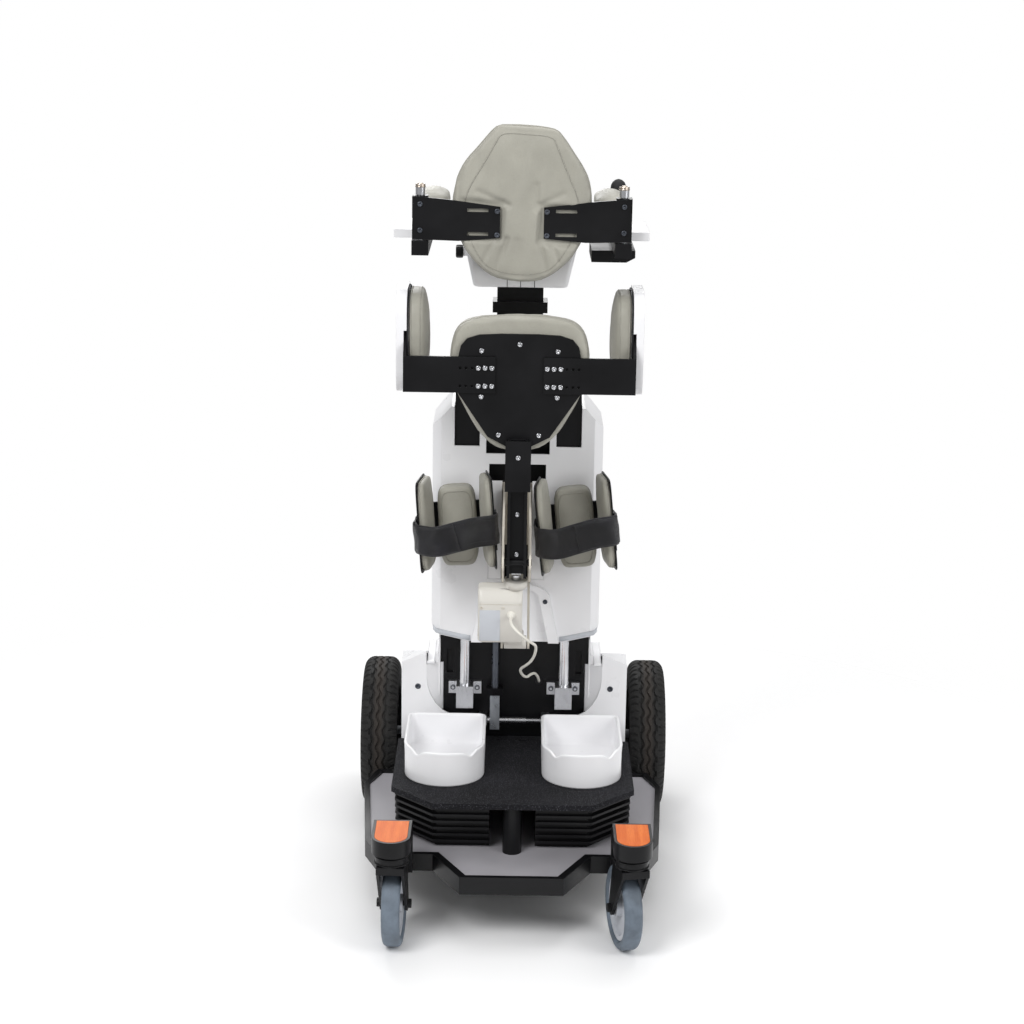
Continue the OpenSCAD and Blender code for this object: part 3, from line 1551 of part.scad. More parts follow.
placed() deck_frame();
placed() deck_panel();
placed() platform();
placed() fin_stacks();
placed() platform_post();
placed() foot_cups();
placed() caster_arms();
placed() caster_caps();
placed() base_cover();
placed() chassis_plate();
placed() guide_rods();
placed() shaft_supports();
placed() lift_rod();
placed() cross_bar();
placed() gearmotors();
placed() battery_pack();
placed() left_tyre();
placed() left_hub();
placed() right_tyre();
placed() right_hub();
placed() left_caster_fork();
placed() left_caster_tread();
placed() left_caster_hub();
placed() right_caster_fork();
placed() right_caster_tread();
placed() right_caster_hub();
placed() column_shell();
placed() column_frame();
placed() guide_bushes();
placed() seat_pivot_bracket();
placed() actuator_body();
placed() actuator_cable();
placed() mast();
placed() chest_housing();
placed() chest_pad();
placed() arm_beams();
placed() armrest_trays();
placed() armrest_pads();
placed() hinge_pins();
placed() control_box();
placed() joystick();
placed() power_button();
placed() clamp_knob();
placed() backrest_brackets();
placed() backrest_pad();
placed() backrest_screws();
placed() seat_plate();
placed() seat_cushion();
placed() seat_post();
placed() hip_brackets();
placed() hip_shells();
placed() hip_pads();
placed() seat_screws();
placed() actuator_rod();
placed() left_knee_bracket();
placed() left_knee_pads();
placed() left_knee_strap();
placed() right_knee_bracket();
placed() right_knee_pads();
placed() right_knee_strap();
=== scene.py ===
import json
from math import atan, atan2, cos, degrees, exp, hypot, pi, radians, sin

import bmesh
import bpy
from mathutils import Matrix, Vector, noise
from mathutils.bvhtree import BVHTree


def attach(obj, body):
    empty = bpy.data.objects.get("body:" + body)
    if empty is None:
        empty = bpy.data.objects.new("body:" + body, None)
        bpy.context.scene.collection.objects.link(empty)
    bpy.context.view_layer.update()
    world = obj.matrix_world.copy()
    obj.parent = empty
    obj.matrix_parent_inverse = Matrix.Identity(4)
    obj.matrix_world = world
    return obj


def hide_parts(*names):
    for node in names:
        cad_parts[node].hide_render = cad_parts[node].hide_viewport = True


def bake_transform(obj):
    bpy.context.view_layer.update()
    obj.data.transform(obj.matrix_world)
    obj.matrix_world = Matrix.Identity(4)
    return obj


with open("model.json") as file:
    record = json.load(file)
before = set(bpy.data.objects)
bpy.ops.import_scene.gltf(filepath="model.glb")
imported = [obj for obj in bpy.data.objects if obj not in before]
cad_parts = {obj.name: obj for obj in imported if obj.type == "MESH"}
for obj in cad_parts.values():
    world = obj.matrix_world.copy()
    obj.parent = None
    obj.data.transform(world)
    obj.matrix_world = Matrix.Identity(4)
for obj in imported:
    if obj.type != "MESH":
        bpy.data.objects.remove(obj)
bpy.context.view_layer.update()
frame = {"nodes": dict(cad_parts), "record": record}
NODES = frame["nodes"]
scene = bpy.context.scene
MM = 0.001
CENTRE_Y = 61.5  # mm from the platform's middle line to the frame's origin
HANDS = (-1, 1)
SIDES = ((-1, "left"), (1, "right"))
MATERIALS = {}
X, Y, Z = Vector((1, 0, 0)), Vector((0, 1, 0)), Vector((0, 0, 1))


def P(x, y, z):
    """A point given in mm from the platform's middle line, in the frame's metres."""
    return Vector((x * MM, (y - CENTRE_Y) * MM, z * MM))


def V(x, y, z):
    """An offset given in mm, in metres."""
    return Vector((x, y, z)) * MM


def both(*places):
    """Points at places in mm and at their mirror images."""
    return [P(side * x, y, z) for side in HANDS for x, y, z in places]


def turned(angle, axis):
    return Matrix.Rotation(radians(angle), 4, axis)


# Mesh helpers
def new_mesh(name, verts, faces, smooth=True):
    mesh = bpy.data.meshes.new(name)
    mesh.from_pydata([tuple(v) for v in verts], [], faces)
    mesh.validate()
    mesh.polygons.foreach_set("use_smooth", [smooth] * len(mesh.polygons))
    return mesh


def face_outwards(mesh, merge=0):
    """Turns all faces outwards, after joining points closer than merge."""
    work = bmesh.new()
    work.from_mesh(mesh)
    if merge:
        bmesh.ops.remove_doubles(work, verts=work.verts, dist=merge)
    bmesh.ops.recalc_face_normals(work, faces=work.faces)
    work.to_mesh(mesh)
    work.free()


def new_object(name, data):
    obj = bpy.data.objects.new(name, data)
    scene.collection.objects.link(obj)
    return obj


def from_mesh(name, mesh, matrix):
    """An object with a moved, or mirrored, copy of a mesh."""
    copy = mesh.copy()
    copy.name = name
    copy.transform(matrix)
    if matrix.to_3x3().determinant() < 0:
        copy.flip_normals()
    return new_object(name, copy)


def place(obj, body, slot, *replaced, look=None):
    """Gives a piece its body and the slot's material or another, and hides the nodes that it replaces."""
    obj.data.materials.clear()
    obj.data.materials.append(MATERIALS[look or slot])
    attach(obj, body)
    if replaced:
        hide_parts(*replaced)
    return obj


def circle(count):
    """Cosine and sine of turns evenly spaced round a circle."""
    turns = [2 * pi * j / count for j in range(count)]
    return [(cos(a), sin(a)) for a in turns]


def square_to(axis):
    """An axis at unit length, and two directions square to it."""
    axis = Vector(axis).normalized()
    side = axis.orthogonal().normalized()
    return axis, side, axis.cross(side)


class Build:
    """Collects several closed forms into one mesh."""

    def __init__(self):
        self.verts = []
        self.faces = []

    def rings(self, rings, caps=True):
        """A skin over rings that have the same number of points."""
        n = len(rings[0])
        m = len(rings)
        faces = []
        for i in range(m - 1):
            for j in range(n):
                k = (j + 1) % n
                faces.append([i * n + j, i * n + k, (i + 1) * n + k, (i + 1) * n + j])
        if caps:
            faces.append(list(range(n - 1, -1, -1)))
            faces.append([(m - 1) * n + j for j in range(n)])
        base = len(self.verts)
        self.verts += [p for r in rings for p in r]
        self.faces += [[base + i for i in f] for f in faces]
        return self

    def tube(self, path, radius, sides=10, closed=False):
        """A round tube along a path in metres."""
        rings = []
        n = len(path)
        up = Vector((0.31, 0.53, 0.79))
        for i, p in enumerate(path):
            a = path[(i + 1) % n] if closed else path[min(i + 1, n - 1)]
            b = path[(i - 1) % n] if closed else path[max(i - 1, 0)]
            t = (a - b).normalized()
            up = (up - t * up.dot(t)).normalized()
            v = t.cross(up)
            rings.append([p + radius * (c * up + s * v) for c, s in circle(sides)])
        if closed:
            last, first = rings[-1], rings[0]
            shift = min(range(sides), key=lambda s: (first[s] - last[0]).length)
            rings.append([first[(j + shift) % sides] for j in range(sides)])
        return self.rings(rings, caps=not closed)

    def lathe(self, profile, origin, axis, sides=48, caps=True):
        """A turned form from (radius, height) in mm along an axis."""
        axis, side, other = square_to(axis)
        return self.rings([
            [origin + axis * h * MM + r * MM * (c * side + s * other) for c, s in circle(sides)]
            for r, h in profile
        ], caps)

    def mesh(self, name, smooth=True):
        return new_mesh(name, self.verts, self.faces, smooth)

    def make(self, name, smooth=True):
        mesh = self.mesh(name, smooth)
        face_outwards(mesh)
        return new_object(name, mesh)

    def put(self, name, body, slot, *replaced, look=None, smooth=True):
        """Makes the piece and places it."""
        place(self.make(name, smooth), body, slot, *replaced, look=look)


def between(a, b, c, d, t):
    """The point t of the way on a smooth curve from b to c, with a before and d after them."""
    square = (2 * a - 5 * b + 4 * c - d) * t * t
    cube = (3 * b - a - 3 * c + d) * t ** 3
    return (2 * b + (c - a) * t + square + cube) / 2


def spline(points, steps, closed=False):
    """Smooth line through points."""
    p = [Vector(q) for q in points]
    n = len(p)
    out = []
    for i in range(n if closed else n - 1):
        near = [i + k for k in (-1, 0, 1, 2)]
        a, b, c, d = (p[k % n if closed else min(max(k, 0), n - 1)] for k in near)
        out += [between(a, b, c, d, k / steps) for k in range(steps)]
    return out if closed else out + [p[-1]]


# Camera at the photograph's viewpoint
CAMERA_PLACE = P(-9, -3893, 1700)
CAMERA_DIP = 14.4  # degrees below the horizon
CAMERA_ROLL = 0.9
FOCAL_PIXELS = 2240
HALF_PICTURE_PIXELS = 512

camera = new_object("camera", bpy.data.cameras.new("camera"))
camera.data.sensor_fit = "HORIZONTAL"
camera.data.angle = 2 * atan(HALF_PICTURE_PIXELS / FOCAL_PIXELS)
camera.data.clip_end = 50
camera_turn = turned(90 - CAMERA_DIP, "X") @ turned(CAMERA_ROLL, "Z")
camera.matrix_world = Matrix.Translation(CAMERA_PLACE) @ camera_turn
scene.camera = camera


# Materials
def lin(r, g, b):
    """An 8-bit screen colour as linear values."""
    shares = [c / 255 for c in (r, g, b)]
    return tuple(c / 12.92 if c <= 10 / 255 else ((c + 0.055) / 1.055) ** 2.4 for c in shares) + (1,)


class Shader:
    """One procedural material: a principled shader fed by small texture chains."""

    def __init__(self, name, rough, metal=0, **constants):
        self.name = name
        self.material = bpy.data.materials.new(name)
        self.material.use_nodes = True
        self.tree = self.material.node_tree
        self.bsdf = self.tree.nodes["Principled BSDF"]
        self.bsdf.inputs["Roughness"].default_value = rough
        self.bsdf.inputs["Metallic"].default_value = metal
        for key, value in constants.items():
            self.bsdf.inputs[key.replace("_", " ")].default_value = value
        self.space = self.node("TexCoord").outputs["Object"]
        self.normal = None

    def node(self, kind, inputs=None, **props):
        node = self.tree.nodes.new("ShaderNode" + kind)
        for key, value in props.items():
            setattr(node, key, value)
        self.feed(node, inputs or {})
        return node

    def feed(self, node, inputs):
        """Links sockets and sets values."""
        for key, value in inputs.items():
            if isinstance(value, bpy.types.NodeSocket):
                self.tree.links.new(value, node.inputs[key])
            else:
                node.inputs[key].default_value = value

    def link(self, socket, name):
        self.tree.links.new(socket, self.bsdf.inputs[name])

    def stretched(self, scale, source=None):
        inputs = {"Vector": source or self.space, "Scale": scale}
        return self.node("Mapping", inputs).outputs["Vector"]

    def noise(self, scale, detail=3, source=None):
        inputs = {"Vector": source or self.space, "Scale": scale, "Detail": detail, "Roughness": 0.55}
        return self.node("TexNoise", inputs).outputs["Fac"]

    def cells(self, scale, feature="F1"):
        inputs = {"Vector": self.space, "Scale": scale}
        return self.node("TexVoronoi", inputs, feature=feature).outputs["Distance"]

    def waves(self, scale, source=None, distortion=0, direction="X", detail=2):
        inputs = {"Vector": source or self.space, "Scale": scale, "Distortion": distortion, "Detail": detail}
        return self.node("TexWave", inputs, bands_direction=direction).outputs["Fac"]

    def span(self, value, low, high, to_low=0, to_high=1):
        inputs = {"Value": value, "From Min": low, "From Max": high, "To Min": to_low, "To Max": to_high}
        return self.node("MapRange", inputs).outputs["Result"]

    def math(self, kind, a, b):
        return self.node("Math", {0: a, 1: b}, operation=kind).outputs[0]

    def mix(self, fac, a, b):
        """A colour from a to b. The node's colour sockets are 6, 7 and 2."""
        node = self.node("Mix", data_type="RGBA")
        self.feed(node, {0: fac, 6: a, 7: b})
        return node.outputs[2]

    def colour(self, base, other, fac):
        self.link(self.mix(fac, base, other), "Base Color")

    def bevel(self, radius):
        self.normal = self.node("Bevel", {"Radius": radius}, samples=4).outputs["Normal"]
        return self

    def bump(self, height, strength, distance):
        inputs = {"Height": height, "Strength": strength, "Distance": distance}
        if self.normal:
            inputs["Normal"] = self.normal
        self.normal = self.node("Bump", inputs).outputs["Normal"]
        return self

    def roughness(self, value, to_low, to_high, high=0.7):
        self.link(self.span(value, 0.3, high, to_low, to_high), "Roughness")

    def done(self):
        if self.normal:
            self.link(self.normal, "Normal")
        MATERIALS[self.name] = self.material


def shade(colour, k):
    return tuple(min(1, c * k) for c in lin(*colour)[:3]) + (1,)


def coated(
    name, colour, rough, grain=1400, strength=0.12, bevel=0.0012, spread=0.25, edge_highlight=1.6, metal=0, gloss=0.5
):
    """Powder coat or moulded plastic: fine grain, cloudy tone, and painted highlights along the edges."""
    s = Shader(name, rough, metal, Specular_IOR_Level=gloss)
    cloud = s.noise(14, 4)
    fine = s.noise(grain, 2)
    tone = s.mix(s.span(cloud, 0.35, 0.7), shade(colour, 1 - spread), shade(colour, 1 + spread))
    edge = s.node("Bevel", {"Radius": bevel * 1.6}, samples=4).outputs["Normal"]
    flat = s.node("NewGeometry").outputs["Normal"]
    bend = s.node("VectorMath", {0: edge, 1: flat}, operation="DOT_PRODUCT").outputs["Value"]
    # Painted highlight on the edges: where the bevel bends the normal, the colour turns lighter in noisy
    # patches, most on dark finishes.
    edge_highlight_mask = s.math("MULTIPLY", s.span(bend, 0.97, 0.8), s.span(s.noise(60), 0.4, 0.7))
    s.colour(tone, shade(colour, edge_highlight), s.math("MULTIPLY", edge_highlight_mask, 0.5))
    s.roughness(cloud, rough - 0.06, rough + 0.08)
    s.bevel(bevel).bump(fine, strength, 0.0004)
    s.done()


# The factor that lightens edges sets how bright each finish's painted edge highlights are.
BLACK = (15, 15, 17)
coated("black_coat", BLACK, 0.34, edge_highlight=4, gloss=0.26)
coated("black_plastic", BLACK, 0.38, grain=900, edge_highlight=4, gloss=0.26)
coated("dark_steel", (78, 82, 90), 0.35, edge_highlight=1.8, metal=0.6)
WHITE = (238, 238, 240)
coated("white_plastic", WHITE, 0.32, grain=700, strength=0.04, bevel=0.0016, spread=0.012, edge_highlight=1.02)
coated("grey_panel", (158, 156, 161), 0.5, grain=1000, strength=0.14, bevel=0.0008, spread=0.05, edge_highlight=1.2)
coated("beige_coat", (208, 202, 190), 0.42, grain=1200, strength=0.08, spread=0.04, edge_highlight=1.08)
coated("beige_plastic", (212, 209, 202), 0.36, grain=800, strength=0.06, bevel=0.002, spread=0.02, edge_highlight=1.03)
coated("caster_core", (186, 189, 195), 0.42, grain=900, strength=0.08, bevel=0.001, spread=0.05, edge_highlight=1.1)
coated("wheel_hub_black", (30, 30, 33), 0.44, grain=900, gloss=0.3)
coated("battery_case", (52, 56, 64), 0.5)
coated("motor_grey", (110, 112, 116), 0.45, grain=500, strength=0.25, metal=0.7)
coated("red_plastic", (186, 38, 30), 0.3, grain=700, strength=0.04, bevel=0.001, spread=0.08, edge_highlight=1.15)
coated("white_cable", (230, 227, 218), 0.42, grain=1500, strength=0.08, bevel=0.0004, spread=0.04, edge_highlight=1.05)
# Blank label plates; this grey also paints the shade on the shell's hem strip.
coated("label_grey", (196, 200, 206), 0.38, grain=300, strength=0.03, bevel=0.0002, spread=0.04, edge_highlight=1.05)


def grit():
    s = Shader("grit_black", 0.85, Specular_IOR_Level=0.2)
    speck_and_glint = s.cells(430)
    grain = s.noise(700, 4)
    cloud = s.noise(9, 4)
    tone = s.mix(s.span(cloud, 0.3, 0.7), lin(17, 17, 20), lin(28, 28, 32))
    # Painted glints: the grit's specks are coloured light grey to stand in for their sparkle; the same specks
    # are also raised as real bumps.
    s.colour(tone, lin(112, 112, 118), s.span(speck_and_glint, 0.3, 0.1, 0, 0.75))
    s.roughness(grain, 0.7, 0.95)
    s.bevel(0.001).bump(s.math("ADD", grain, s.span(speck_and_glint, 0, 0.5, 0.6, 0)), 0.55, 0.0007)
    s.done()


def wood():
    s = Shader("wood_inlay", 0.45, Specular_IOR_Level=0.12)
    along = s.stretched((260, 14, 60))
    rings = s.waves(0.8, along, 5, "X", 3)
    pores = s.noise(1, 5, s.stretched((2600, 90, 400)))
    band = s.noise(1, 3, s.stretched((90, 8, 20)))
    tone = s.mix(rings, lin(226, 112, 34), lin(192, 82, 18))
    tone = s.mix(s.span(band, 0.4, 0.7, 0, 0.6), tone, lin(236, 134, 56))
    s.colour(tone, lin(150, 58, 14), s.span(pores, 0.6, 0.75, 0, 0.7))
    s.roughness(pores, 0.3, 0.5, 0.8)
    s.bevel(0.0008).bump(pores, 0.12, 0.0003)
    s.done()


def metal(name, colour, rough, brushed=(40, 40, 1500), strength=0.08):
    """Bare metal, brushed along the direction in which the noise is stretched."""
    s = Shader(name, rough, 1)
    lines = s.noise(1, 3, s.stretched(brushed))
    cloud = s.noise(30, 3)
    s.colour(shade(colour, 0.9), shade(colour, 1.06), s.span(cloud, 0.3, 0.7))
    s.roughness(lines, max(0.05, rough - 0.06), rough + 0.08)
    s.bevel(0.0006).bump(lines, strength, 0.0002)
    s.done()


SILVER = (222, 223, 226)
TURNED = (900, 900, 60)
metal("chrome", SILVER, 0.14, (60, 60, 900), 0.02)
metal("steel", (198, 199, 203), 0.26, TURNED, 0.06)
metal("aluminium", SILVER, 0.3, (900, 60, 60), 0.1)
metal("brass", (196, 164, 110), 0.3)
metal("warm_steel", (196, 184, 172), 0.24, TURNED, 0.06)


def rubber(name, colour, rough, grain):
    s = Shader(name, rough, Specular_IOR_Level=0.35)
    dust = s.noise(22, 5)
    fine = s.noise(grain, 3)
    s.colour(shade(colour, 0.8), shade(colour, 1.5), s.span(dust, 0.4, 0.75))
    s.roughness(dust, rough - 0.08, rough + 0.1)
    s.bevel(0.0008).bump(fine, 0.25, 0.0004)
    s.done()


rubber("tyre_rubber", (40, 39, 38), 0.68, 700)
rubber("black_rubber", (30, 30, 32), 0.6, 1100)
rubber("caster_rubber", (98, 108, 119), 0.55, 800)


def upholstery():
    """Grey-beige artificial leather: grain, pores and soft creases."""
    s = Shader("upholstery", 0.5, Sheen_Weight=0.12, Sheen_Roughness=0.5)
    cloud = s.noise(11, 4)
    grain = s.cells(720, feature="DISTANCE_TO_EDGE")
    pores = s.noise(2400, 2)
    crease = s.noise(46, 4, s.stretched((1, 1, 0.55)))
    tone = s.mix(s.span(cloud, 0.3, 0.7), lin(150, 148, 138), lin(166, 164, 153))
    s.colour(tone, lin(122, 120, 111), s.span(grain, 0, 0.12, 0.35, 0))
    s.roughness(crease, 0.42, 0.6)
    s.bump(crease, 0.18, 0.004).bump(s.span(grain, 0, 0.25), 0.22, 0.0005).bump(pores, 0.08, 0.0003)
    s.done()


def seam_thread():
    s = Shader("seam_thread", 0.6)
    twist = s.waves(900, None, 1.5, "DIAGONAL")
    s.colour(lin(128, 126, 117), lin(170, 168, 158), twist)
    s.bump(twist, 0.3, 0.0003)
    s.done()


def webbing():
    """Woven black band. Its weave follows the uv map."""
    s = Shader("webbing", 0.42, Sheen_Weight=0.3, Sheen_Roughness=0.3)
    uv = s.node("TexCoord").outputs["UV"]
    warp = s.waves(1, s.stretched((120, 120, 1), uv), 0, "DIAGONAL")
    weft = s.waves(1, s.stretched((60, 260, 1), uv), 0.4, "Y")
    fuzz = s.noise(900, 3)
    cloud = s.noise(26, 3)
    weave = s.math("MULTIPLY", warp, weft)
    tone = s.mix(weave, lin(8, 8, 12), lin(26, 26, 32))
    s.colour(tone, lin(40, 39, 50), s.span(cloud, 0.45, 0.75, 0, 0.4))
    s.roughness(fuzz, 0.26, 0.46)
    s.bump(weave, 0.6, 0.0006).bump(fuzz, 0.15, 0.0003)
    s.done()


upholstery()
seam_thread()
webbing()
grit()
wood()

OTHER_NAMES = {"wheel_hub": "wheel_hub_black", "bronze": "brass"}
for entry in frame["record"]["subparts"]:
    node = NODES[entry["node"]]
    slot = entry["material_slot"]
    node.data.materials.clear()
    node.data.materials.append(MATERIALS[OTHER_NAMES.get(slot, slot)])


# White floor and backdrop, soft studio light
def studio_floor():
    """A white floor that fades out around the part."""
    half = 3
    clear_from, clear_to = 0.75, 1.7
    s = Shader("floor", 0.9)
    s.colour(lin(252, 252, 252), lin(249, 249, 250), s.noise(3))
    reach = s.node("VectorMath", {0: s.space}, operation="LENGTH").outputs["Value"]
    s.link(s.span(reach, clear_from, clear_to, 1, 0), "Alpha")
    corners = [(-half, -half, 0), (half, -half, 0), (half, half, 0), (-half, half, 0)]
    floor = new_object("floor", new_mesh("floor", corners, [[0, 1, 2, 3]], False))
    s.done()
    floor.data.materials.append(MATERIALS["floor"])


def studio_world():
    """White to the camera, and a softer white as light on the part."""
    as_light = 0.45
    world = bpy.data.worlds.new("studio")
    scene.world = world
    world.use_nodes = True
    tree = world.node_tree
    back = tree.nodes["Background"]
    back.inputs["Color"].default_value = (1, 1, 1, 1)
    path = tree.nodes.new("ShaderNodeLightPath")
    seen = tree.nodes.new("ShaderNodeMath")
    seen.operation = "MULTIPLY_ADD"
    tree.links.new(path.outputs["Is Camera Ray"], seen.inputs[0])
    seen.inputs[1].default_value = 1 - as_light
    seen.inputs[2].default_value = as_light
    tree.links.new(seen.outputs[0], back.inputs["Strength"])


def lamp(name, where, aim_height, size, power):
    """A soft lamp, aimed at a height above the frame's origin."""
    light = bpy.data.lights.new(name, "AREA")
    light.shape = "RECTANGLE"
    light.size, light.size_y = size
    light.energy = power
    obj = new_object(name, light)
    obj.location = where
    obj.rotation_euler = (Z * aim_height - Vector(where)).to_track_quat("-Z", "Y").to_euler()


studio_floor()
studio_world()
lamp("key", (-1.6, -2.6, 3), 0.7, (1.6, 1.6), 80)
lamp("fill", (2.4, -2, 2), 0.7, (1.8, 1.8), 44)
lamp("top", (0.2, 0.6, 3.4), 0.5, (2.2, 1.8), 34)
lamp("rear", (-0.6, 3, 2.2), 0.7, (2, 1.4), 36)

# Cable from the motor box down into the base
CABLE_D = 5
CABLE_ROUTE = [
    (-8, -146, 547.7), (-8, -161, 543.7), (-2, -173, 536), (10, -175, 525), (22, -165, 512), (31, -145, 500),
    (36, -120, 488), (37, -95, 472), (34, -72, 452), (27, -50, 434), (19, -28, 420), (13, -5, 408),
    (11, 18, 396), (13, 40, 383), (18, 60, 371), (24, 80, 363), (31, 100, 361), (38, 118, 357),
    (44, 134, 346), (47, 146, 334), (47, 157, 328),
]
run = spline([P(*p) for p in CABLE_ROUTE], 5)
cable = Build().tube(run, CABLE_D / 2 * MM, 14).make("actuator_cable_soft")
cable.data.materials.append(MATERIALS["white_cable"])
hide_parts("actuator_cable")
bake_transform(cable)


# Upholstered pads. A pad's own frame has its face outline in (a, b) and its depth d up from the back.
PAD_POINTS = 72  # round a pad's outline
BACK_SKIN = 4 * MM  # the held back of a pad reaches this far up
SIM_FRAMES = 20
CLOTH = {
    "quality": 4, "use_pressure": True, "uniform_pressure_force": 4, "vertex_group_mass": "hold",
    "tension_stiffness": 40, "compression_stiffness": 40, "bending_stiffness": 0.6,
}


def smooth_loop(points, count):
    """A closed smooth line through points, as count evenly spaced points."""
    loop = spline([(a, b, 0) for a, b in points], 12, closed=True)
    size = [0]
    for p, q in zip(loop, loop[1:] + loop[:1]):
        size.append(size[-1] + (q - p).length)
    out = []
    j = 0
    for i in range(count):
        want = size[-1] * i / count
        while size[j + 1] < want:
            j += 1
        t = (want - size[j]) / (size[j + 1] - size[j])
        out.append(loop[j].lerp(loop[(j + 1) % len(loop)], t))
    return out


def squircle(w, h, power, count=64):
    """A rectangle with round corners, the squarer the higher its power."""
    out = []
    for c, s in circle(count):
        r = (abs(c) ** power + abs(s) ** power) ** (-1 / power)
        out.append((r * c * w / 2, r * s * h / 2))
    return out


def mirrored_outline(shares, half, low, high):
    """An outline from the shares of its right half."""
    right = [(half * x, low + (high - low) * z) for x, z in shares]
    return right + [(-x, z) for x, z in reversed(right)]


def inset(loop, k):
    n = len(loop)
    out = []
    for i, p in enumerate(loop):
        t = (loop[(i + 1) % n] - loop[i - 1]).normalized()
        out.append(p + Vector((-t.y, t.x, 0)) * k)
    return out


def cushion(name, loop, depth, edge, crown):
    """A plain cushion: flat back, upright side, round edge and crowned face."""
    side = 1 * MM
    low = depth - crown - edge * 0.6
    levels = [(3 * MM, 0), (side, 1.5 * MM), (side, low)]
    levels += [(side + edge * (1 - cos(t)), low + edge * 0.6 * sin(t)) for t in (0.5, 1, 1.4)]
    rings = [[p + Z * d for p in inset(loop, k)] for k, d in levels]
    rim = rings[-1]
    middle = sum(loop, Vector()) / len(loop)
    for share in (0.7, 0.4, 0.15):
        high = Z * (depth - crown * share ** 2)
        rings.append([(middle + (p - middle) * share).to_2d().to_3d() + high for p in rim])
    return Build().rings(rings).make(name)


def evaluated(obj):
    """A mesh of an object with its modifiers."""
    graph = bpy.context.evaluated_depsgraph_get()
    return bpy.data.meshes.new_from_object(obj.evaluated_get(graph))


def blow_up(obj, cap):
    """Pressure in a short cloth simulation with the back held. No point moves further than cap in mm."""
    mesh = obj.data
    hold = obj.vertex_groups.new(name="hold")
    hold.add([v.index for v in mesh.vertices if v.co.z < BACK_SKIN], 1, "REPLACE")
    cloth = obj.modifiers.new("cloth", "CLOTH")
    for key, value in CLOTH.items():
        setattr(cloth.settings, key, value)
    cloth.settings.effector_weights.gravity = 0
    cloth.point_cache.frame_start = 1
    cloth.point_cache.frame_end = SIM_FRAMES
    for f in range(1, SIM_FRAMES + 1):
        scene.frame_set(f)
    moved = [v.co.copy() for v in evaluated(obj).vertices]
    obj.modifiers.clear()
    scene.frame_set(1)
    for v, co in zip(mesh.vertices, moved):
        step = co - v.co
        v.co += step * min(1, cap * MM / max(step.length, 1e-9))


def fold(mesh, relief):
    """Soft unevenness all over a pad but its back, and the pad's own relief."""
    rise = 0.8 * MM
    for v, normal in zip(mesh.vertices, [n.vector.copy() for n in mesh.vertex_normals]):
        if v.co.z > BACK_SKIN:
            wide = noise.noise(v.co * 38)
            small = noise.noise(v.co * 90 + Vector((7, 3, 1)))
            v.co += normal * (wide * 0.9 + small * 0.35) * rise
        if relief:
            v.co += relief(v.co / MM, normal) * MM


def puff(name, outline, depth, edge, crown, voxel=0.005, cap=7, relief=None):
    """The mesh of a pad and the loop around it."""
    loop = [p * MM for p in smooth_loop(outline, PAD_POINTS)]
    if sum(p.x * q.y - q.x * p.y for p, q in zip(loop, loop[1:] + loop[:1])) < 0:
        loop.reverse()
    obj = cushion(name, loop, depth * MM, edge * MM, crown * MM)
    even = obj.modifiers.new("even", "REMESH")
    even.mode = "VOXEL"
    even.voxel_size = voxel
    mesh = evaluated(obj)
    obj.modifiers.clear()
    obj.data = mesh
    blow_up(obj, cap)
    relax = obj.modifiers.new("relax", "SMOOTH")
    relax.factor = 0.5
    relax.iterations = 3
    obj.modifiers.new("fine", "SUBSURF").levels = 1
    mesh = evaluated(obj)
    bpy.data.objects.remove(obj)
    fold(mesh, relief)
    mesh.polygons.foreach_set("use_smooth", [True] * len(mesh.polygons))
    return mesh, loop


def on_side(tree, loop, d):
    """The line around a pad's side at depth d."""
    outside = 0.05
    out = []
    middle = sum(loop, Vector()) / len(loop)
    for p in loop:
        q = Vector((p.x, p.y, d))
        away = (p - middle).normalized()
        out.append(tree.ray_cast(q + away * outside, -away)[0] or q)
    return out


def on_face(tree, line, side):
    """A flat line dropped on a pad's face (side 1) or back (side -1)."""
    outside = 0.2
    hits = [tree.ray_cast(Vector((p.x, p.y, outside * side)), -Z * side)[0] for p in line]
    return [q for q in hits if q]


def stitches(form, line, pitch, length, radius, lift):
    """Short raised threads along a line, sized in mm."""
    half = length / 2 * MM
    run = 0
    due = pitch * MM
    for a, b in zip(line, line[1:]):
        run += (b - a).length
        if run >= due:
            due += pitch * MM
            t = (b - a).normalized()
            mid = (a + b) / 2 + lift * MM
            form.tube([mid - t * half, mid, mid + t * half], radius * MM, 6)


class Pad:
    """A pad's form with its piping and seams, to be put in several places."""

    def __init__(self, name, outline, piping, trim=(), **sizes):
        self.mesh, loop = puff(name, outline, **sizes)
        points = [v.co for v in self.mesh.vertices]
        tree = BVHTree.FromPolygons(points, [p.vertices for p in self.mesh.polygons])
        form = Build()
        for d, radius in piping:
            form.tube(on_side(tree, loop, d * MM), radius * MM, 8, closed=True)
        for line, side, radius in trim:
            drawn = on_face(tree, [Vector(q) * MM for q in line], side)
            form.tube(drawn, radius * MM, 8)
            stitches(form, drawn, 6, 3.4, 0.45, Z * 0.9 * side)
        self.trim = form.mesh(name + "_trim")

    def put(self, name, matrix, body, node, fill):
        pad = place(from_mesh(name, self.mesh, matrix), body, "upholstery", node)
        place(from_mesh(name + "_piping", self.trim, matrix), body, "upholstery", look="seam_thread")


def frame_of(origin, a, b, d):
    """Matrix whose columns are the pad's a, b and depth directions."""
    m = Matrix.Identity(4)
    for i, v in enumerate((a, b, d)):
        m.col[i] = (*v, 0)
    m.col[3] = (*origin, 1)
    return m


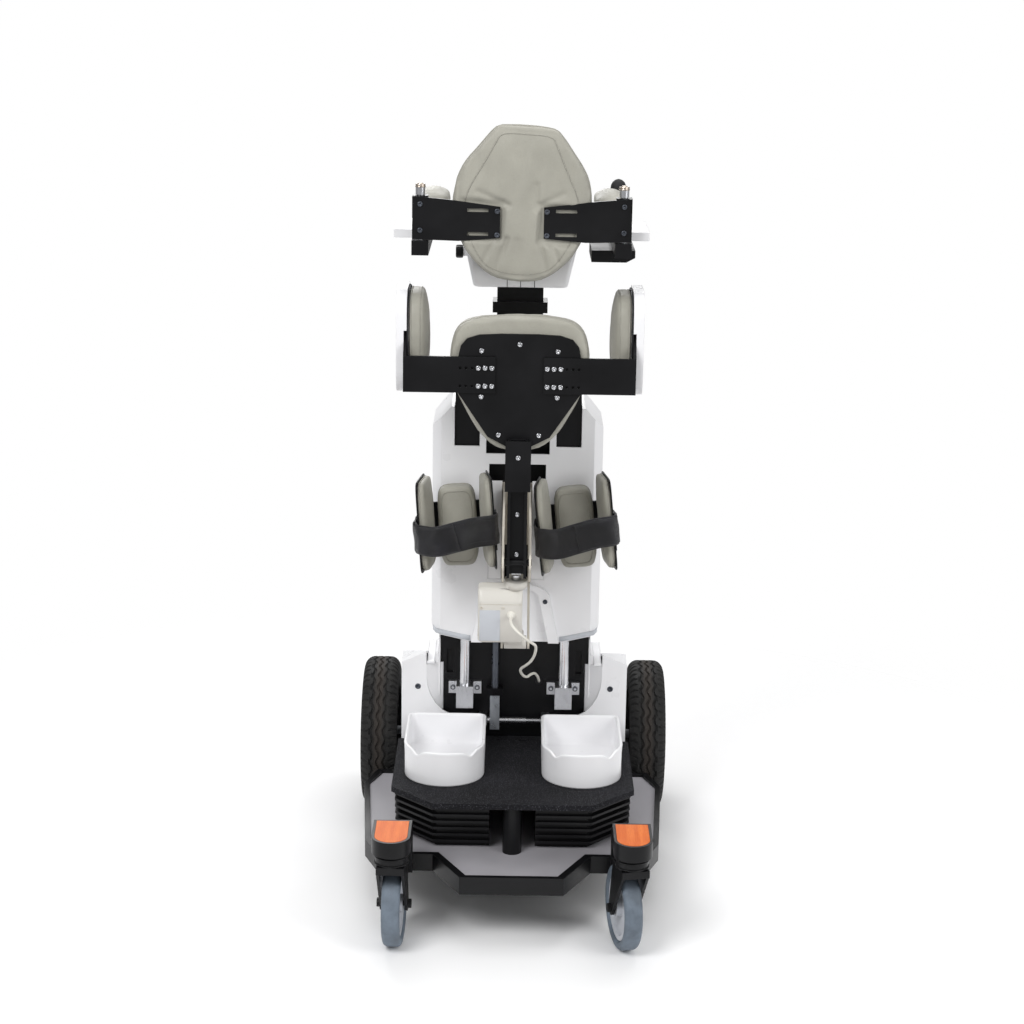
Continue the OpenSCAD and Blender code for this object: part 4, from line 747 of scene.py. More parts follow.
# Seat cushion
SEAT_HALF = [
    (0.12, 0), (0.34, 0.03), (0.56, 0.13), (0.85, 0.38), (1, 0.61), (0.99, 0.8), (0.87, 0.94), (0.5, 1),
]
seat_pad = Pad(
    "seat_cushion_form", mirrored_outline(SEAT_HALF, 117, -115, 116),
    depth=66, edge=13, crown=12, voxel=0.006, cap=8, piping=((16, 1.5), (50, 1.2)),
)
seat_pad.put("seat_cushion_soft", frame_of(P(0, -159.6, 962), X, Z, Y), "seat", "seat_cushion", 0.7)


# Backrest pad, with seams and a slack cover on its rear
def seam_line(left, middle):
    """A smooth flat line with the same points left and right of its middle."""
    points = left + [middle] + [(-a, b) for a, b in reversed(left)]
    return spline([(a, b, 0) for a, b in points], 8)


BACK_HALF = [
    (0.18, 0), (0.45, 0.04), (0.8, 0.2), (0.98, 0.42), (1, 0.54), (0.92, 0.7), (0.69, 0.85), (0.47, 0.975),
    (0.37, 1),
]
BACK_TILT = 3.4
PANEL_SEAM = seam_line([(-98, -14), (-88, 22), (-66, 66), (-49, 101), (-43, 110), (-30, 114)], (0, 114.5))
BORDER_SEAM = seam_line([(-100, 0), (-86, -52), (-58, -98), (-30, -112)], (0, -115))

# Creases in the slack cover: start, end, half width and depth
CREASES = [
    ((-24, -2), (-74, 16), 5, 5.5), ((-22, -58), (-34, -108), 4.5, 6), ((-44, -66), (-60, -104), 4.5, 4.6),
    ((25, -4), (22, 34), 5, 5), ((30, 2), (66, 22), 5, 4.2), ((36, -62), (48, -110), 4.5, 6.4),
    ((56, -66), (72, -96), 4.5, 4.6), ((-3, -60), (2, -114), 6, 2.6),
]


def crease_depth(p):
    """How far the creases pull the cover in at a point."""
    total = 0
    for (x0, y0), (x1, y1), width, deep in CREASES:
        along = Vector((x1 - x0, y1 - y0))
        share = max(0, min(1, Vector((p.x - x0, p.y - y0)).dot(along) / along.length_squared))
        away = hypot(p.x - x0 - along.x * share, p.y - y0 - along.y * share)
        total += deep * (1 - 0.4 * share) * exp(-((away / width) ** 2))
    return total


def back_relief(p, normal):
    """The slack cover bellies out between the brackets, lies flat under them and folds beside them."""
    rear_skin, belly, waves = 8, 7, 2.6
    half_x, half_y = 106, 119
    bracket_x, bracket_y, bracket_half = 25, -30, 29
    if normal.z > -0.3 or p.z > rear_skin:
        return Vector()
    edge = max(0, 1 - (p.x / half_x) ** 8 - (p.y / half_y) ** 8)
    outwards = max(0, min(1, (abs(p.x) - bracket_x) / 7))
    level = max(0, 1 - max(0, abs(p.y - bracket_y) - bracket_half) / 9)
    drape = noise.noise(Vector((p.x * 0.055, p.y * 0.016, 4)))
    return -Z * (1 - outwards * level) * edge * (belly + waves * drape - crease_depth(p))


back_pad = Pad(
    "backrest_pad_form", mirrored_outline(BACK_HALF, 115, -127, 127),
    depth=44, edge=11, crown=9, piping=((8, 1.6), (32, 1.2)),
    trim=((PANEL_SEAM, -1, 1), (BORDER_SEAM, -1, 0.9)), relief=back_relief,
)
back_frame = Matrix.Translation(P(0, -200.6, 1274)) @ turned(BACK_TILT, "Y") @ frame_of((0, 0, 0), X, Z, Y)
back_pad.put("backrest_pad_soft", back_frame, "backrest", "backrest_pad", 0.6)

# Chest, arm and hip pads
HIP_Y, HIP_Z = -75, 1030.5
HIP_POWER = 3.6

chest_pad = Pad(
    "chest_pad_form", squircle(190, 160, 3.4),
    depth=39, edge=9, crown=7, voxel=0.006, cap=6, piping=((12, 1.4),),
)
chest_pad.put("chest_pad_soft", frame_of(P(0, 87.6, 1202), X, Z, -Y), "chest_unit", "chest_pad", 0.7)

arm_pad = Pad(
    "armrest_pad_form", squircle(56, 145, 4.2), depth=63, edge=10, crown=8, cap=4, piping=((9, 1.3),),
)
for side, label in SIDES:
    spot = frame_of(P(side * 149.5, -89, 1226.4), X, Y, Z)
    arm_pad.put(f"{label}_armrest_soft", spot, "chest_unit", "armrest_pads", 0.7)

hip_pad = Pad(
    "hip_pad_form", squircle(141, 168, HIP_POWER),
    depth=36, edge=9, crown=7, cap=6, piping=((6, 1.6), (22, 1)),
)
for side, label in SIDES:
    spot = frame_of(P(side * 191.6, HIP_Y, HIP_Z), Y, Z, -X * side)
    hip_pad.put(f"{label}_hip_pad_soft", spot, "seat", "hip_pads", 0.7)

# Knee supports: pad, two wings with a black plate behind each, and a strap around them
KNEE_X, KNEE_Z = 107, 662
KNEE_LEAN = {"left": -4, "right": -6}
KNEE_FACE = Y * 67.6 * MM
KNEE_POWER = 5.5
WING_ROOT = V(38, 66, 0)
WING_TURN = 8
WING_BACK = V(17.6, -46, 13.5)
WING_SIZE = (89, 168)
STRAP_ROUTE = [
    (-70, 10, 5), (-72.2, -6, 4), (-73, -22, 1), (-64, -34, -3), (-35, -40, -6), (0, -40, 1), (35, -37, 7),
    (64, -33, 8), (73, -22, 8), (72.2, -6, 8), (70, 10, 8),
]
STRAP_EDGE = 0.485  # share of a strap's width where its rounded edge begins

knee_seam = [(x * 0.8, z * 0.88, 0) for x, z in squircle(68, 150, KNEE_POWER, 96)]
knee_pad = Pad(
    "knee_pad_form", squircle(70, 151, KNEE_POWER), depth=38, edge=6, crown=6, voxel=0.004, cap=4,
    piping=((8, 1.3),), trim=((knee_seam + knee_seam[:1], 1, 0.9),),
)
wing_pad = Pad(
    "knee_wing_form", squircle(*WING_SIZE, KNEE_POWER), depth=18, edge=7, crown=4, voxel=0.004, cap=3,
    piping=((5, 1.2),),
)


def wing_plate_mesh():
    """The thin black plate behind a knee wing, seen as a dark edge all round it."""
    w, h = (size + 2 for size in WING_SIZE)
    rings = []
    for k, d in ((0.6, -1.2), (0, -0.7), (0, 0.6), (0.6, 1.2)):
        rings.append([V(a, b, d) for a, b in squircle(w - 2 * k, h - 2 * k, 9, 96)])
    return Build().rings(rings).mesh("knee_wing_plate", False)


def strap_section():
    """Points round a strap as shares of its width and thickness."""
    face = [-STRAP_EDGE] + [k / 8 for k in range(-3, 4)] + [STRAP_EDGE]
    front = [(v, 0.5) for v in face]
    rear = [(v, -0.5) for v in reversed(face)]
    return [(-0.5, 0)] + front + [(0.5, 0)] + rear


def strap(name, matrix, route, width, thick, lift, body, *nodes):
    """A woven band along a route, its width standing in Z, with a uv map along and across it."""
    wave = 2.2
    line = spline([Vector(q) * MM for q in route], 8)
    section = strap_section()
    last = len(line) - 1
    rings = []
    for i, p in enumerate(line):
        t = (line[min(i + 1, last)] - line[max(i - 1, 0)]).normalized()
        out = t.cross(Z).normalized()
        up = out.cross(t).normalized()
        loose = min(1, i / 10, (last - i) / 10)
        ring = []
        for v, u in section:
            ripple = wave * loose * noise.noise(Vector((i * 0.13, v * 2.2, lift)))
            ring.append(p + up * (v * width * MM) + out * ((u * thick + lift + ripple) * MM))
        rings.append(ring)
    obj = Build().rings(rings).make(name)
    grid = obj.data.uv_layers.new(name="UVMap")
    for loop in obj.data.loops:
        i, j = divmod(loop.vertex_index, len(section))
        grid.data[loop.index].uv = (i * 0.06, section[j][0])
    obj.data.transform(matrix)
    place(obj, body, "webbing", *nodes)


wing_plate = wing_plate_mesh()
for side, label in SIDES:
    body = f"{label}_knee"
    pads = f"{label}_knee_pads"
    unit = Matrix.Translation(P(side * KNEE_X, 0, KNEE_Z)) @ turned(KNEE_LEAN[label], "Y")
    knee_pad.put(f"{label}_knee_pad_soft", unit @ frame_of(KNEE_FACE, X, Z, -Y), body, pads, 0.7)
    for hand in HANDS:
        where = "inner" if hand == -side else "outer"
        root = unit @ Matrix.Scale(hand, 4, X) @ Matrix.Translation(WING_ROOT) @ turned(WING_TURN, "Z")
        wing = root @ frame_of(WING_BACK, Y, Z, -X)
        wing_pad.put(f"{label}_knee_wing_soft_{where}", wing, body, pads, 0.6)
        rear = from_mesh(f"{label}_knee_wing_plate_{where}", wing_plate, wing)
        place(rear, body, "black_coat")
    strap(f"{label}_knee_strap_woven", unit, STRAP_ROUTE, 56, 2.6, 0, body, f"{label}_knee_strap")
    tab_route = STRAP_ROUTE[5:] if side > 0 else STRAP_ROUTE[:6]
    strap(f"{label}_knee_strap_tab", unit, tab_route, 50, 1.6, 2.4, body)
    form = Build()
    for z in (-17, 21):
        line = spline([V(x, y - 4.6, z + w * 0.9) for x, y, w in STRAP_ROUTE[4:8]], 12)
        stitches(form, line, 5, 3, 0.4, Vector())
    form.verts = [unit @ v for v in form.verts]
    form.put(f"{label}_knee_strap_stitching", body, "webbing")


# Tyres with a zigzag tread
AXLE_X, AXLE_Y, AXLE_Z = 264, 372, 148
TYRE_R, TYRE_HALF, RIM_R, SHOULDER = 148, 35, 94, 20


def tyre_profile():
    """(radius, x) from one rim over the tread to the other, with two grooves on each side wall."""
    wall = TYRE_R - SHOULDER
    flat = TYRE_HALF - SHOULDER
    side = []
    for k in range(7):
        groove = 2 if k in (2, 4) else 0
        side.append((RIM_R + (wall - RIM_R) * k / 6, groove - TYRE_HALF))
    for t in [pi / 2 * k / 8 for k in range(1, 9)]:
        side.append((wall + SHOULDER * sin(t), -flat - SHOULDER * cos(t)))
    top = [(TYRE_R, flat * (k / 12 - 1)) for k in range(1, 24)]
    return side + top + [(r, -x) for r, x in reversed(side)]


def tread_cut(u, turn):
    """Depth of the tread at a share u of the half width and a share of a turn."""
    zigzags, lugs = 30, 60
    zig = abs((turn * zigzags) % 1 - 0.5) * 2
    if abs(u) > 0.6 and (turn * lugs + abs(u) * 0.5) % 1 < 0.3:
        return 3
    if any(abs(u - lane - 0.17 * (zig - 0.5)) < 0.055 for lane in (-0.36, 0, 0.36)):
        return 3.2
    return 0


def tyre_mesh():
    around = 360
    rings = []
    for r, x in tyre_profile():
        treaded = r > TYRE_R - SHOULDER * 0.75
        ring = []
        for j, (c, s) in enumerate(circle(around)):
            depth = tread_cut(x / TYRE_HALF, j / around) if treaded else 0
            ring.append(V(x, (r - depth) * c, (r - depth) * s))
        rings.append(ring)
    mesh = Build().rings(rings + rings[:1], caps=False).mesh("tyre_form", False)
    face_outwards(mesh, 1e-6)
    return mesh


def tyre_finish():
    """Dusty rubber, browner along the middle of the tread."""
    s = Shader("tyre_tread", 0.72, Specular_IOR_Level=0.3)
    part = s.node("SeparateXYZ", {"Vector": s.space})
    side = s.math("ABSOLUTE", part.outputs["X"], 0)
    dust = s.noise(30, 5)
    fine = s.noise(800, 3)
    centre, full, none = AXLE_X * MM, 0.004, 0.013
    outside = s.span(side, centre + none, centre + full)
    inside = s.span(side, centre - none, centre - full)
    middle = s.math("MULTIPLY", outside, inside)
    tone = s.mix(s.span(dust, 0.35, 0.75), lin(22, 22, 22), lin(44, 43, 42))
    s.colour(tone, lin(76, 66, 58), s.math("MULTIPLY", middle, 0.3))
    s.roughness(dust, 0.6, 0.85)
    s.bevel(0.0008).bump(fine, 0.25, 0.0004)
    s.done()


tyre_finish()
tyre = tyre_mesh()
for side, label in SIDES:
    axle = Matrix.Translation(P(side * AXLE_X, AXLE_Y, AXLE_Z))
    wheel = from_mesh(f"{label}_tyre_tread", tyre, axle)
    place(wheel, f"{label}_drive_wheel", "tyre_rubber", f"{label}_tyre", look="tyre_tread")

# Foot cups: thin shells with a rolled rim and a scalloped heel
PLATFORM_TOP = 220
CUP_X = 125
CUP_WIDTH, CUP_FRONT, CUP_BACK = 145, -122, 100
CUP_HEEL = CUP_FRONT + CUP_WIDTH / 2
CUP_CORNER, CUP_WALL, CUP_HIGH = 14, 4, 62
SCALLOP_FROM = 20  # the heel's scallop fades out down to this height


def arc(x, y, r, start, stop, step):
    """Points on an arc, with its angles in degrees."""
    turns = [radians(a) for a in range(start, stop, step)]
    return [(x + r * cos(a), y + r * sin(a)) for a in turns]


def cup_outline(k):
    """A cup's outline pulled in by k: heel arc at the front, straight sides, rounded toe end."""
    r = CUP_WIDTH / 2 - k
    c = max(CUP_CORNER - k, 2)
    toe = CUP_BACK - k
    straight = toe - c - CUP_HEEL
    out = arc(0, CUP_HEEL, r, 180, 360, 2)
    out += [(r, CUP_HEEL + straight * t / 10) for t in range(10)]
    out += arc(r - c, toe - c, c, 0, 90, 10)
    out += [((r - c) * (1 - 2 * t / 12), toe) for t in range(12)]
    out += arc(c - r, toe - c, c, 90, 180, 10)
    out += [(-r, toe - c - straight * t / 10) for t in range(10)]
    return out


def heel_dip(x, y):
    """How far the heel's rim dips beside its middle."""
    if y >= CUP_HEEL:
        return 0
    turn = abs(degrees(atan2(x, CUP_HEEL - y)))
    return 8.5 * exp(-((turn - 42) / 8.5) ** 2) - 1.5 * exp(-(turn / 24) ** 4)


def add_cup(form, centre):
    inner = CUP_WALL
    skins = [
        (3, 0), (0.6, 0.6), (0, 3), (0.3, 20), (0, 45), (-0.8, 58), (-1.2, 61),
        (-0.2, 62.4), (1.8, 62.9), (4.2, 62.2), (inner + 1, 59), (inner + 0.4, 45), (inner + 0.8, 20),
        (inner + 2.2, 8), (inner + 6, 4.4), (inner + 14, 4),
    ]
    rings = []
    for k, level in skins:
        share = max(0, (level - SCALLOP_FROM) / (CUP_HIGH - SCALLOP_FROM))
        high = PLATFORM_TOP + level
        rings.append([P(centre + x, y, high - heel_dip(x, y) * share) for x, y in cup_outline(k)])
    form.rings(rings)


form = Build()
for side in HANDS:
    add_cup(form, side * CUP_X)
form.put("foot_cup_shells", "base", "white_plastic", "foot_cups")
form = Build()
for spot in both(*[(CUP_X + x, -40, PLATFORM_TOP + 4.2) for x in (-30, 30)]):
    form.lathe([(0.1, 1.4), (3.4, 1.4), (4, 0.8), (4.4, -1)], spot, Z, 24)
form.put("foot_cup_fixings", "base", "black_rubber")

# Screws with hexagon sockets
SOCKET = 0.5  # share of a screw's diameter
BACK_SCREWS = [(x, -206, z) for x, z in ((41, 1224), (41, 1263), (168, 1230), (168, 1273))]
SEAT_PLATE_SCREWS = [(x, -165, z) for x, z in ((64.5, 1023), (64.5, 944), (34.3, 878))]
HIP_SCREWS = [(x, -170, z) for x in (46.8, 58.2, 69.7) for z in (994.1, 963.2)]
SEAT_MIDDLE_SCREWS = ((0, -165, 1034.6), (0, -170, 740), (0, -170, 669), (0, -189, 844))


def screw(form, origin, axis, d, high):
    """A round head in mm with a hexagon socket."""
    axis, side, other = square_to(axis)
    count = 36
    sixth = pi / 3
    turns = [2 * pi * j / count for j in range(count)]
    rounded = [1] * count
    hexagon = [1 / cos((a + sixth / 2) % sixth - sixth / 2) for a in turns]
    levels = (
        (1, 0, rounded), (1, 0.35, rounded), (0.93, 0.72, rounded), (0.78, 1, rounded),
        (SOCKET, 1, hexagon), (SOCKET, 0.3, hexagon),
    )
    rings = []
    for share, h, shape in levels:
        centre = origin + axis * h * high * MM
        r = share * d / 2 * MM
        rings.append([centre + r * k * (c * side + s * other) for k, (c, s) in zip(shape, circle(count))])
    form.rings(rings)


def screws(name, body, slot, places, *replaced, d=9, high=3):
    """One piece of screw heads that point forwards."""
    form = Build()
    for spot in places:
        screw(form, spot, -Y, d, high)
    form.put(name, body, slot, *replaced)


seat_screws = both(*SEAT_PLATE_SCREWS, *HIP_SCREWS) + [P(*q) for q in SEAT_MIDDLE_SCREWS]
screws("backrest_screw_heads", "backrest", "dark_steel", both(*BACK_SCREWS), "backrest_screws")
screws("seat_screw_heads", "seat", "steel", seat_screws, "seat_screws")

# Joystick with a bellows boot, a grip, a cross pin and a collar on its box
STICK_X, STICK_Y, STICK_Z = 168, 40, 1231.5
CONTROL_TOP = 1220
BOOT_FOOT = [(0.1, -9), (9.8, -6), (11, 0), (10.4, 4)]
GRIP = [
    (4, 19.5), (3.8, 31), (5.2, 33), (9.5, 35), (12.9, 39.5), (13.9, 45), (13.2, 51),
    (10.6, 56.5), (6.4, 60.2), (2, 61.8), (0.1, 62),
]
COLLAR = [(8.8, 0), (11.9, 0), (12, 0.8), (11.6, 3.2), (10.6, 4.2), (9.6, 4), (8.8, 2.6), (8.8, 0)]

bellows = []
for k in range(5):
    bellows += [(10.6 - 1.25 * k, 5 + 2.6 * k), (8.2 - 0.9 * k, 6.4 + 2.6 * k)]
stick = P(STICK_X, STICK_Y, STICK_Z)
form = Build()
form.lathe(BOOT_FOOT + bellows + GRIP, stick, Z, 40)
form.lathe([(2.6, -13), (3, -12.6), (3, 12.6), (2.6, 13)], stick, X, 24)
form.put("joystick_stick", "joystick", "black_rubber", "joystick")
collar = Build().lathe(COLLAR, P(STICK_X, STICK_Y, CONTROL_TOP), Z, 40, caps=False)
collar.put("joystick_collar", "chest_unit", "black_rubber")

# Clamp knob with five lobes
KNOB_X, KNOB_Y, KNOB_Z = -104.3, 130, 1150
KNOB_R = 12.4
KNOB_LOBES = 5
KNOB_LEVELS = (
    (0, 0.86), (1.2, 0.97), (3, 1), (10, 1), (12, 0.95), (13, 0.82), (13, 0.5), (12, 0.42), (12, 0.02),
)
rings = []
for h, k in KNOB_LEVELS:
    hollow = 0.07 if k > 0.6 else 0
    ring = []
    for a in [2 * pi * j / 80 for j in range(80)]:
        r = KNOB_R * k * (1 - hollow * (1 - cos(KNOB_LOBES * a)))
        ring.append(P(KNOB_X - h, KNOB_Y + r * cos(a), KNOB_Z + r * sin(a)))
    rings.append(ring)
Build().rings(rings).put("clamp_knob_lobed", "clamp_knob", "black_plastic", "clamp_knob")

# Chest housing, open at the top for the mast
HOUSING_LOW, HOUSING_TOP = 1092, 1210
HOUSING_FRONT, HOUSING_BEHIND = 88, 210
HOUSING_HALF_LOW, HOUSING_HALF_TOP = 84, 110
HOUSING_CORNER = 9
MAST_GAP = (109.5, 140.5)


def rounded_box(low, high, corner, step=1):
    """Points round a rectangle with rounded corners, evenly spaced along its sides."""
    (x0, d0), (x1, d1) = low, high
    left, right, near, far = x0 + corner, x1 - corner, d0 + corner, d1 - corner
    out = []
    for x, d, start in ((right, far, 0), (left, far, 90), (left, near, 180), (right, near, 270)):
        out += arc(x, d, corner, start, start + 91, 15)
    walked = []
    for (xa, da), (xb, db) in zip(out, out[1:] + out[:1]):
        count = max(1, round(hypot(xb - xa, db - da) / step))
        walked += [(xa + (xb - xa) * k / count, da + (db - da) * k / count) for k in range(count)]
    return walked


def housing_rings(front, behind, levels):
    """Outlines of the chest housing, wider towards its top, each pulled in by an inset at its height."""
    half = 100
    outline = rounded_box((-half, front), (half, behind), HOUSING_CORNER, 3)
    middle = (front + behind) / 2
    rings = []
    for k, z in levels:
        rise = (z - HOUSING_LOW) / (HOUSING_TOP - HOUSING_LOW)
        across = (HOUSING_HALF_LOW + (HOUSING_HALF_TOP - HOUSING_HALF_LOW) * rise - k) / half
        deep = 1 - 2 * k / (behind - front)
        rings.append([P(x * across, middle + (y - middle) * deep, z) for x, y in outline])
    return rings


form = Build()
lower = ((6, HOUSING_LOW), (2.2, 1092.9), (0.5, 1094.8), (0, 1098), (0, 1188))
upper = ((0, 1178), (0, 1206), (0.8, 1208.8), (3, HOUSING_TOP))
form.rings(housing_rings(HOUSING_FRONT, HOUSING_BEHIND, lower))
for front, behind in ((HOUSING_FRONT, MAST_GAP[0]), (MAST_GAP[1], HOUSING_BEHIND)):
    form.rings(housing_rings(front, behind, upper))
form.lathe([(8, -4), (8, 20)], P(-84, KNOB_Y, KNOB_Z), -X, 32)
form.put("chest_housing_shell", "chest_unit", "white_plastic", "chest_housing")

# Seat actuator: shell, blank rating plate, cable gland, cover seams
EYE_Y, EYE_Z = -89.88, 485.11
LEAN = radians(15)
BOX_LEFT, BOX_RIGHT, BOX_FRONT, BOX_BEHIND = -66, 12, -30, 10
BOX_LOW, BOX_HIGH = 16, 118
BOX_SLOPE = 16  # the box slopes back over this height
ROD_TUBE = ((20, BOX_HIGH), (20, 130.5), (18.5, 132), (9.6, 132), (8.5, 131), (8.5, 32))
EYE = [(5.2, -20), (11.2, -20), (12, -19.2), (12, 19.2), (11.2, 20), (5.2, 20), (5.2, -20)]
GLAND = [
    (7.6, -0.5), (7.6, 1), (6.9, 1.6), (6.9, 3), (6, 3.4), (6, 5), (5.2, 5.4), (5.2, 7),
    (4.3, 7.4), (4.3, 9), (3, 9.6), (2.6, 9.6),
]


def on_box(x, d, s):
    """A point in the seat actuator's own frame: across, depth and along its axis."""
    c, slant = cos(LEAN), sin(LEAN)
    return P(x, EYE_Y + d * c - s * slant, EYE_Z + d * slant + s * c)


def actuator_shell():
    """Motor box with rounded edges, the tube on top of it with its bore, the neck and the eye."""
    outline = rounded_box((BOX_LEFT, BOX_FRONT), (BOX_RIGHT, BOX_BEHIND), 7)
    turns = [atan2(d, x) for x, d in outline]
    wide, deep = BOX_RIGHT - BOX_LEFT, BOX_BEHIND - BOX_FRONT
    mid_x, mid_d = (BOX_LEFT + BOX_RIGHT) / 2, (BOX_FRONT + BOX_BEHIND) / 2
    bend = BOX_HIGH - BOX_SLOPE
    levels = [
        (4, BOX_LOW), (1.4, BOX_LOW + 0.7), (0, BOX_LOW + 3), (0, bend - 3), (0, bend + 1),
        (0, BOX_HIGH - 4), (0.6, BOX_HIGH - 1.6), (3, BOX_HIGH),
    ]
    rings = []
    for k, s in levels:
        slope = 1 - max(0, s - bend) / deep
        ring = []
        for x, d in outline:
            u = mid_x + (x - mid_x) * (1 - 2 * k / wide)
            v = mid_d + (d - mid_d) * (1 - 2 * k / deep)
            ring.append(on_box(u, BOX_BEHIND + (v - BOX_BEHIND) * slope, s))
        rings.append(ring)
    for r, s in ROD_TUBE:
        rings.append([on_box(r * cos(a), r * sin(a), s) for a in turns])
    form = Build().rings(rings)
    neck = rounded_box((-15, -12), (15, 12), 4)
    form.rings([[on_box(x, d, s) for x, d in neck] for s in (0, 18)])
    return form.lathe(EYE, on_box(0, 0, 0), X, 40, caps=False)


def plate(corners, rise, edge):
    """A thin plate with softened edges over four corners."""
    a, b, _, d = corners
    out = (b - a).cross(d - a).normalized()
    middle = sum(corners, Vector()) / 4
    rings = []
    for lift, k in ((0, 0), (rise * 0.7, 0), (rise, edge)):
        rings.append([q + (middle - q).normalized() * k * MM + out * lift * MM for q in corners])
    return Build().rings(rings)


actuator_shell().put("actuator_body_shell", "column", "beige_plastic", "actuator_body")
label_corners = [on_box(x, BOX_FRONT, s) for x, s in ((-63, 21), (-27, 21), (-27, 84), (-63, 84))]
plate(label_corners, 0.5, 0.6).put("rating_plate_blank", "column", "beige_plastic", look="label_grey")
out = (on_box(0, -1, 0) - on_box(0, 0, 0)).normalized()
gland = Build().lathe(GLAND, on_box(-8, BOX_FRONT, 75), out, 36)
gland.put("cable_gland_sleeve", "column", "white_cable")
form = Build()
for x in (BOX_LEFT - 0.05, BOX_RIGHT + 0.05):
    form.tube([on_box(x, d, 30) for d in range(-29, 9, 3)], 0.5 * MM, 6)
form.tube([on_box(x, BOX_FRONT - 0.05, 96) for x in range(-65, 12, 4)], 0.5 * MM, 6)
for x in (-60, -22):
    screw(form, on_box(x, BOX_FRONT + 0.4, 88.5), out, 6, 1.2)
form.put("motor_box_seams", "column", "beige_coat")


# Fixings and seams of the white covers, and painted shade along the shell's hem
def framed(low, high, k):
    """Corners of a rectangle pulled in by k."""
    (a, b), (c, d) = low, high
    return (a + k, b + k), (c - k, b + k), (c - k, d - k), (a + k, d - k)


def upright_panels(low, high, levels):
    """A left and a right upright panel over (x, z) corners, from (inset, y) levels."""
    form = Build()
    for side in HANDS:
        form.rings([[P(side * x, y, z) for x, z in framed(low, high, k)] for k, y in levels])
    return form


COVER_TOP_OUT = Vector((0, 0.315, 0.949))  # square to the sloping top of the base cover
COVER_SCREWS = (
    ((182, 136, 322), -Y, 11, 1.6), ((190, 136, 226), -Y, 9, 1.6),
    ((150, 240, 358.7), COVER_TOP_OUT, 10, 1.4), ((150, 420, 299.1), COVER_TOP_OUT, 10, 1.4),
)
# Points along the shell's lower hem and the section of the grey strip that paints shade on it
HEM = ((83, 426.2), (100, 429.2), (125, 434.8), (147, 439.9), (153, 447))
HEM_SECTION = ((0.9, 0), (-0.3, 0.5), (-0.3, 9), (0.9, 9.6))

form = Build()
for where, axis, d, high in COVER_SCREWS:
    for spot in both(where):
        screw(form, spot, axis, d, high)
form.put("cover_screws", "base", "dark_steel")
form = upright_panels((27.5, 546.2), (51.8, 733), ((0, 103.8), (0, 100.6), (0.6, 100)))
form.put("shell_window_panels", "column", "white_plastic", smooth=False)
screws("shell_screw", "column", "dark_steel", [P(55, 91, 506)], high=2)
# Grey strip along the white shell's lower hem: painted shade of the lip that turns down away from the light,
# coloured with the label grey.
form = Build()
for side in HANDS:
    form.rings([[P(side * x, 98.9 + dy, z + dz) for dy, dz in HEM_SECTION] for x, z in HEM])
form.put("shell_hem_painted_shade", "column", "white_plastic", look="label_grey")
form = Build()
for x in (-24, 0, 25):
    form.tube([P(x, HOUSING_FRONT, 1093 + 3 * k) for k in range(12)], 0.6 * MM, 6)
form.put("chest_housing_seams", "chest_unit", "black_plastic")

# Inside of the recess: white walls beside the black plate, ledges over the cheeks, backs of the slots
RECESS_BLOCKS = (
    ((140.4, 148, 300), (143.4, 232, 417)), ((143.5, 148, 300), (150, 232, 385)),
    ((150.5, 137, 366.3), (165.6, 275, 371.5)),
)
GROMMET = [(3, 0), (6.4, 0), (6.8, 1), (6, 2.6), (4.2, 3.4), (3, 3)]

form = Build()
for side in HANDS:
    for low, high in RECESS_BLOCKS:
        levels = ((0.8, low[2]), (0, low[2] + 0.8), (0, high[2] - 1.2), (1.2, high[2]))
        form.rings([[P(side * x, y, z) for x, y in framed(low[:2], high[:2], k)] for k, z in levels])
form.put("recess_walls", "base", "white_plastic", smooth=False)
form = upright_panels((112, 340), (132, 396), ((0, 160.1), (0, 162), (0.8, 162.8)))
form.put("slot_backs", "base", "black_plastic", smooth=False)
supports = both((70, 146, 318), (116, 146, 318))
screws("support_screw_heads", "base", "dark_steel", supports, d=10, high=3.6)
Build().lathe(GROMMET, P(47, 154, 329.6), -Y, 32).put("cable_grommet", "base", "black_rubber")

# Hinge pins: a cap and a spring above each side of the gate
HINGE_X, HINGE_Y, HINGE_TOP = 168, -190, 1299
PIN_CAP = [(8.4, 0), (8.9, 0.5), (8.9, 1.6), (7, 2), (4.4, 2), (4.4, 6), (3.6, 7.2), (0.2, 7.4)]
COIL_R = 7.6

form = Build()
coil = [(COIL_R * cos(t / 2), COIL_R * sin(t / 2), 0.055 * t) for t in range(90)]
for pin in both((HINGE_X, HINGE_Y, HINGE_TOP)):
    form.tube([pin + Vector(q) * MM for q in coil], 0.9 * MM, 6)
    form.lathe(PIN_CAP, pin, Z, 32)
form.put("hinge_pin_caps", "chest_unit", "steel", look="warm_steel")

# Zipped edge between each hip shell and its pad
tape = Build()
teeth = Build()
for side in HANDS:
    loop = [P(side * 190.4, HIP_Y + a, HIP_Z + b) for a, b in squircle(144, 171, HIP_POWER, 120)]
    tape.tube(loop, 1.5 * MM, 8, closed=True)
    stitches(teeth, loop, 4, 2.2, 0.6, -X * side * 1.4)
tape.put("hip_zip_tape", "seat", "black_rubber")
teeth.put("hip_zip_teeth", "seat", "dark_steel")

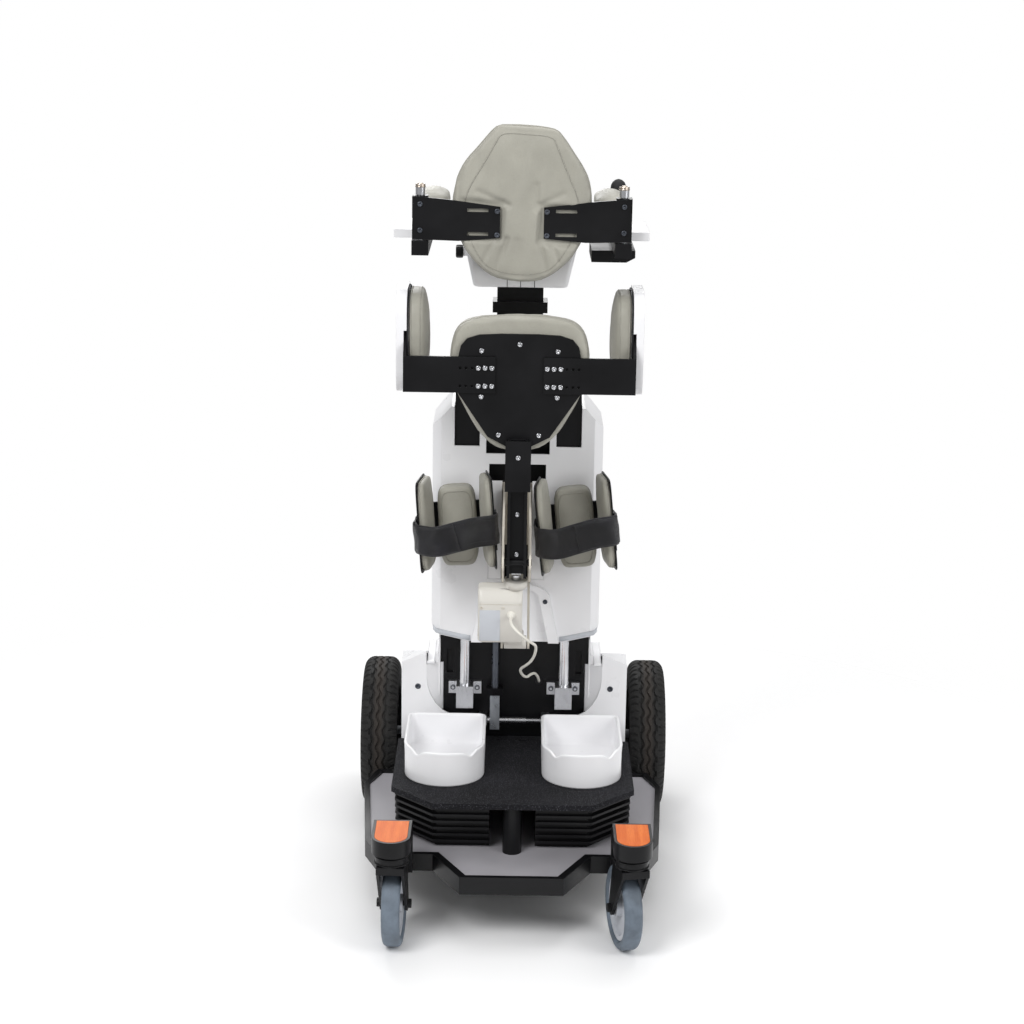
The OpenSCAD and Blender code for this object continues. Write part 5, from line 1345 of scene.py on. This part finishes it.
# Casters: dust rings on the swivels. Drive wheels: hub caps, bolts and valves.
SWIVEL_X, SWIVEL_Y = 205, -345
DUST_RING = [(27.6, -1.6), (29.6, -1.2), (30.2, 0), (29.6, 1.2), (27.6, 1.6)]
HUB_CAP = [(27, 25.2), (27, 26.5), (25, 28.5), (18, 29.4), (12, 29.6), (11, 31.5), (6, 32.4), (0.2, 32.6)]
BOLT_CIRCLE = 22

for side, label in SIDES:
    wheel = f"{label}_drive_wheel"
    axle = P(side * AXLE_X, AXLE_Y, AXLE_Z)
    form = Build()
    for z in (172, 184, 195):
        form.lathe(DUST_RING, P(side * SWIVEL_X, SWIVEL_Y, z), Z, 40, caps=False)
    form.put(f"{label}_swivel_rings", f"{label}_caster", "black_plastic")
    form = Build()
    form.lathe(HUB_CAP, axle, X * side, 48)
    for a in [radians(60 * k + 30) for k in range(6)]:
        bolt = V(side * 25, BOLT_CIRCLE * cos(a), BOLT_CIRCLE * sin(a))
        screw(form, axle + bolt, X * side, 7, 4)
    form.put(f"{label}_hub_cap", wheel, "dark_steel")
    form = Build()
    for start, drop, steps, radius in ((14, 78, 9, 2.6), (24, 75, 4, 3.6)):
        stem = [V(side * (start + 2 * k), 0, 0.6 * k - drop) for k in range(steps)]
        form.tube([axle + q for q in stem], radius * MM, 12)
    form.put(f"{label}_valve", wheel, "black_rubber")


# Lift strut in three tones: dark rod, black end block, bright clevis
def strut_finish():
    clevis_top, block_top = 0.311, 0.3252
    s = Shader("lift_strut", 0.34, 0.85)
    part = s.node("SeparateXYZ", {"Vector": s.space})
    cloud = s.noise(60, 3)
    rod = s.mix(cloud, lin(70, 74, 82), lin(112, 116, 124))
    block = s.mix(cloud, lin(20, 20, 22), lin(34, 34, 37))
    bright = s.mix(cloud, lin(176, 182, 190), lin(206, 210, 216))
    low = s.math("LESS_THAN", part.outputs["Z"], clevis_top)
    mid = s.math("LESS_THAN", part.outputs["Z"], block_top)
    s.colour(s.mix(mid, rod, block), bright, low)
    s.roughness(cloud, 0.24, 0.42)
    s.bevel(0.001).bump(s.noise(900, 2), 0.08, 0.0003)
    s.done()


strut_finish()
NODES["lift_rod"].data.materials[0] = MATERIALS["lift_strut"]

scene.view_settings.view_transform = "Standard"
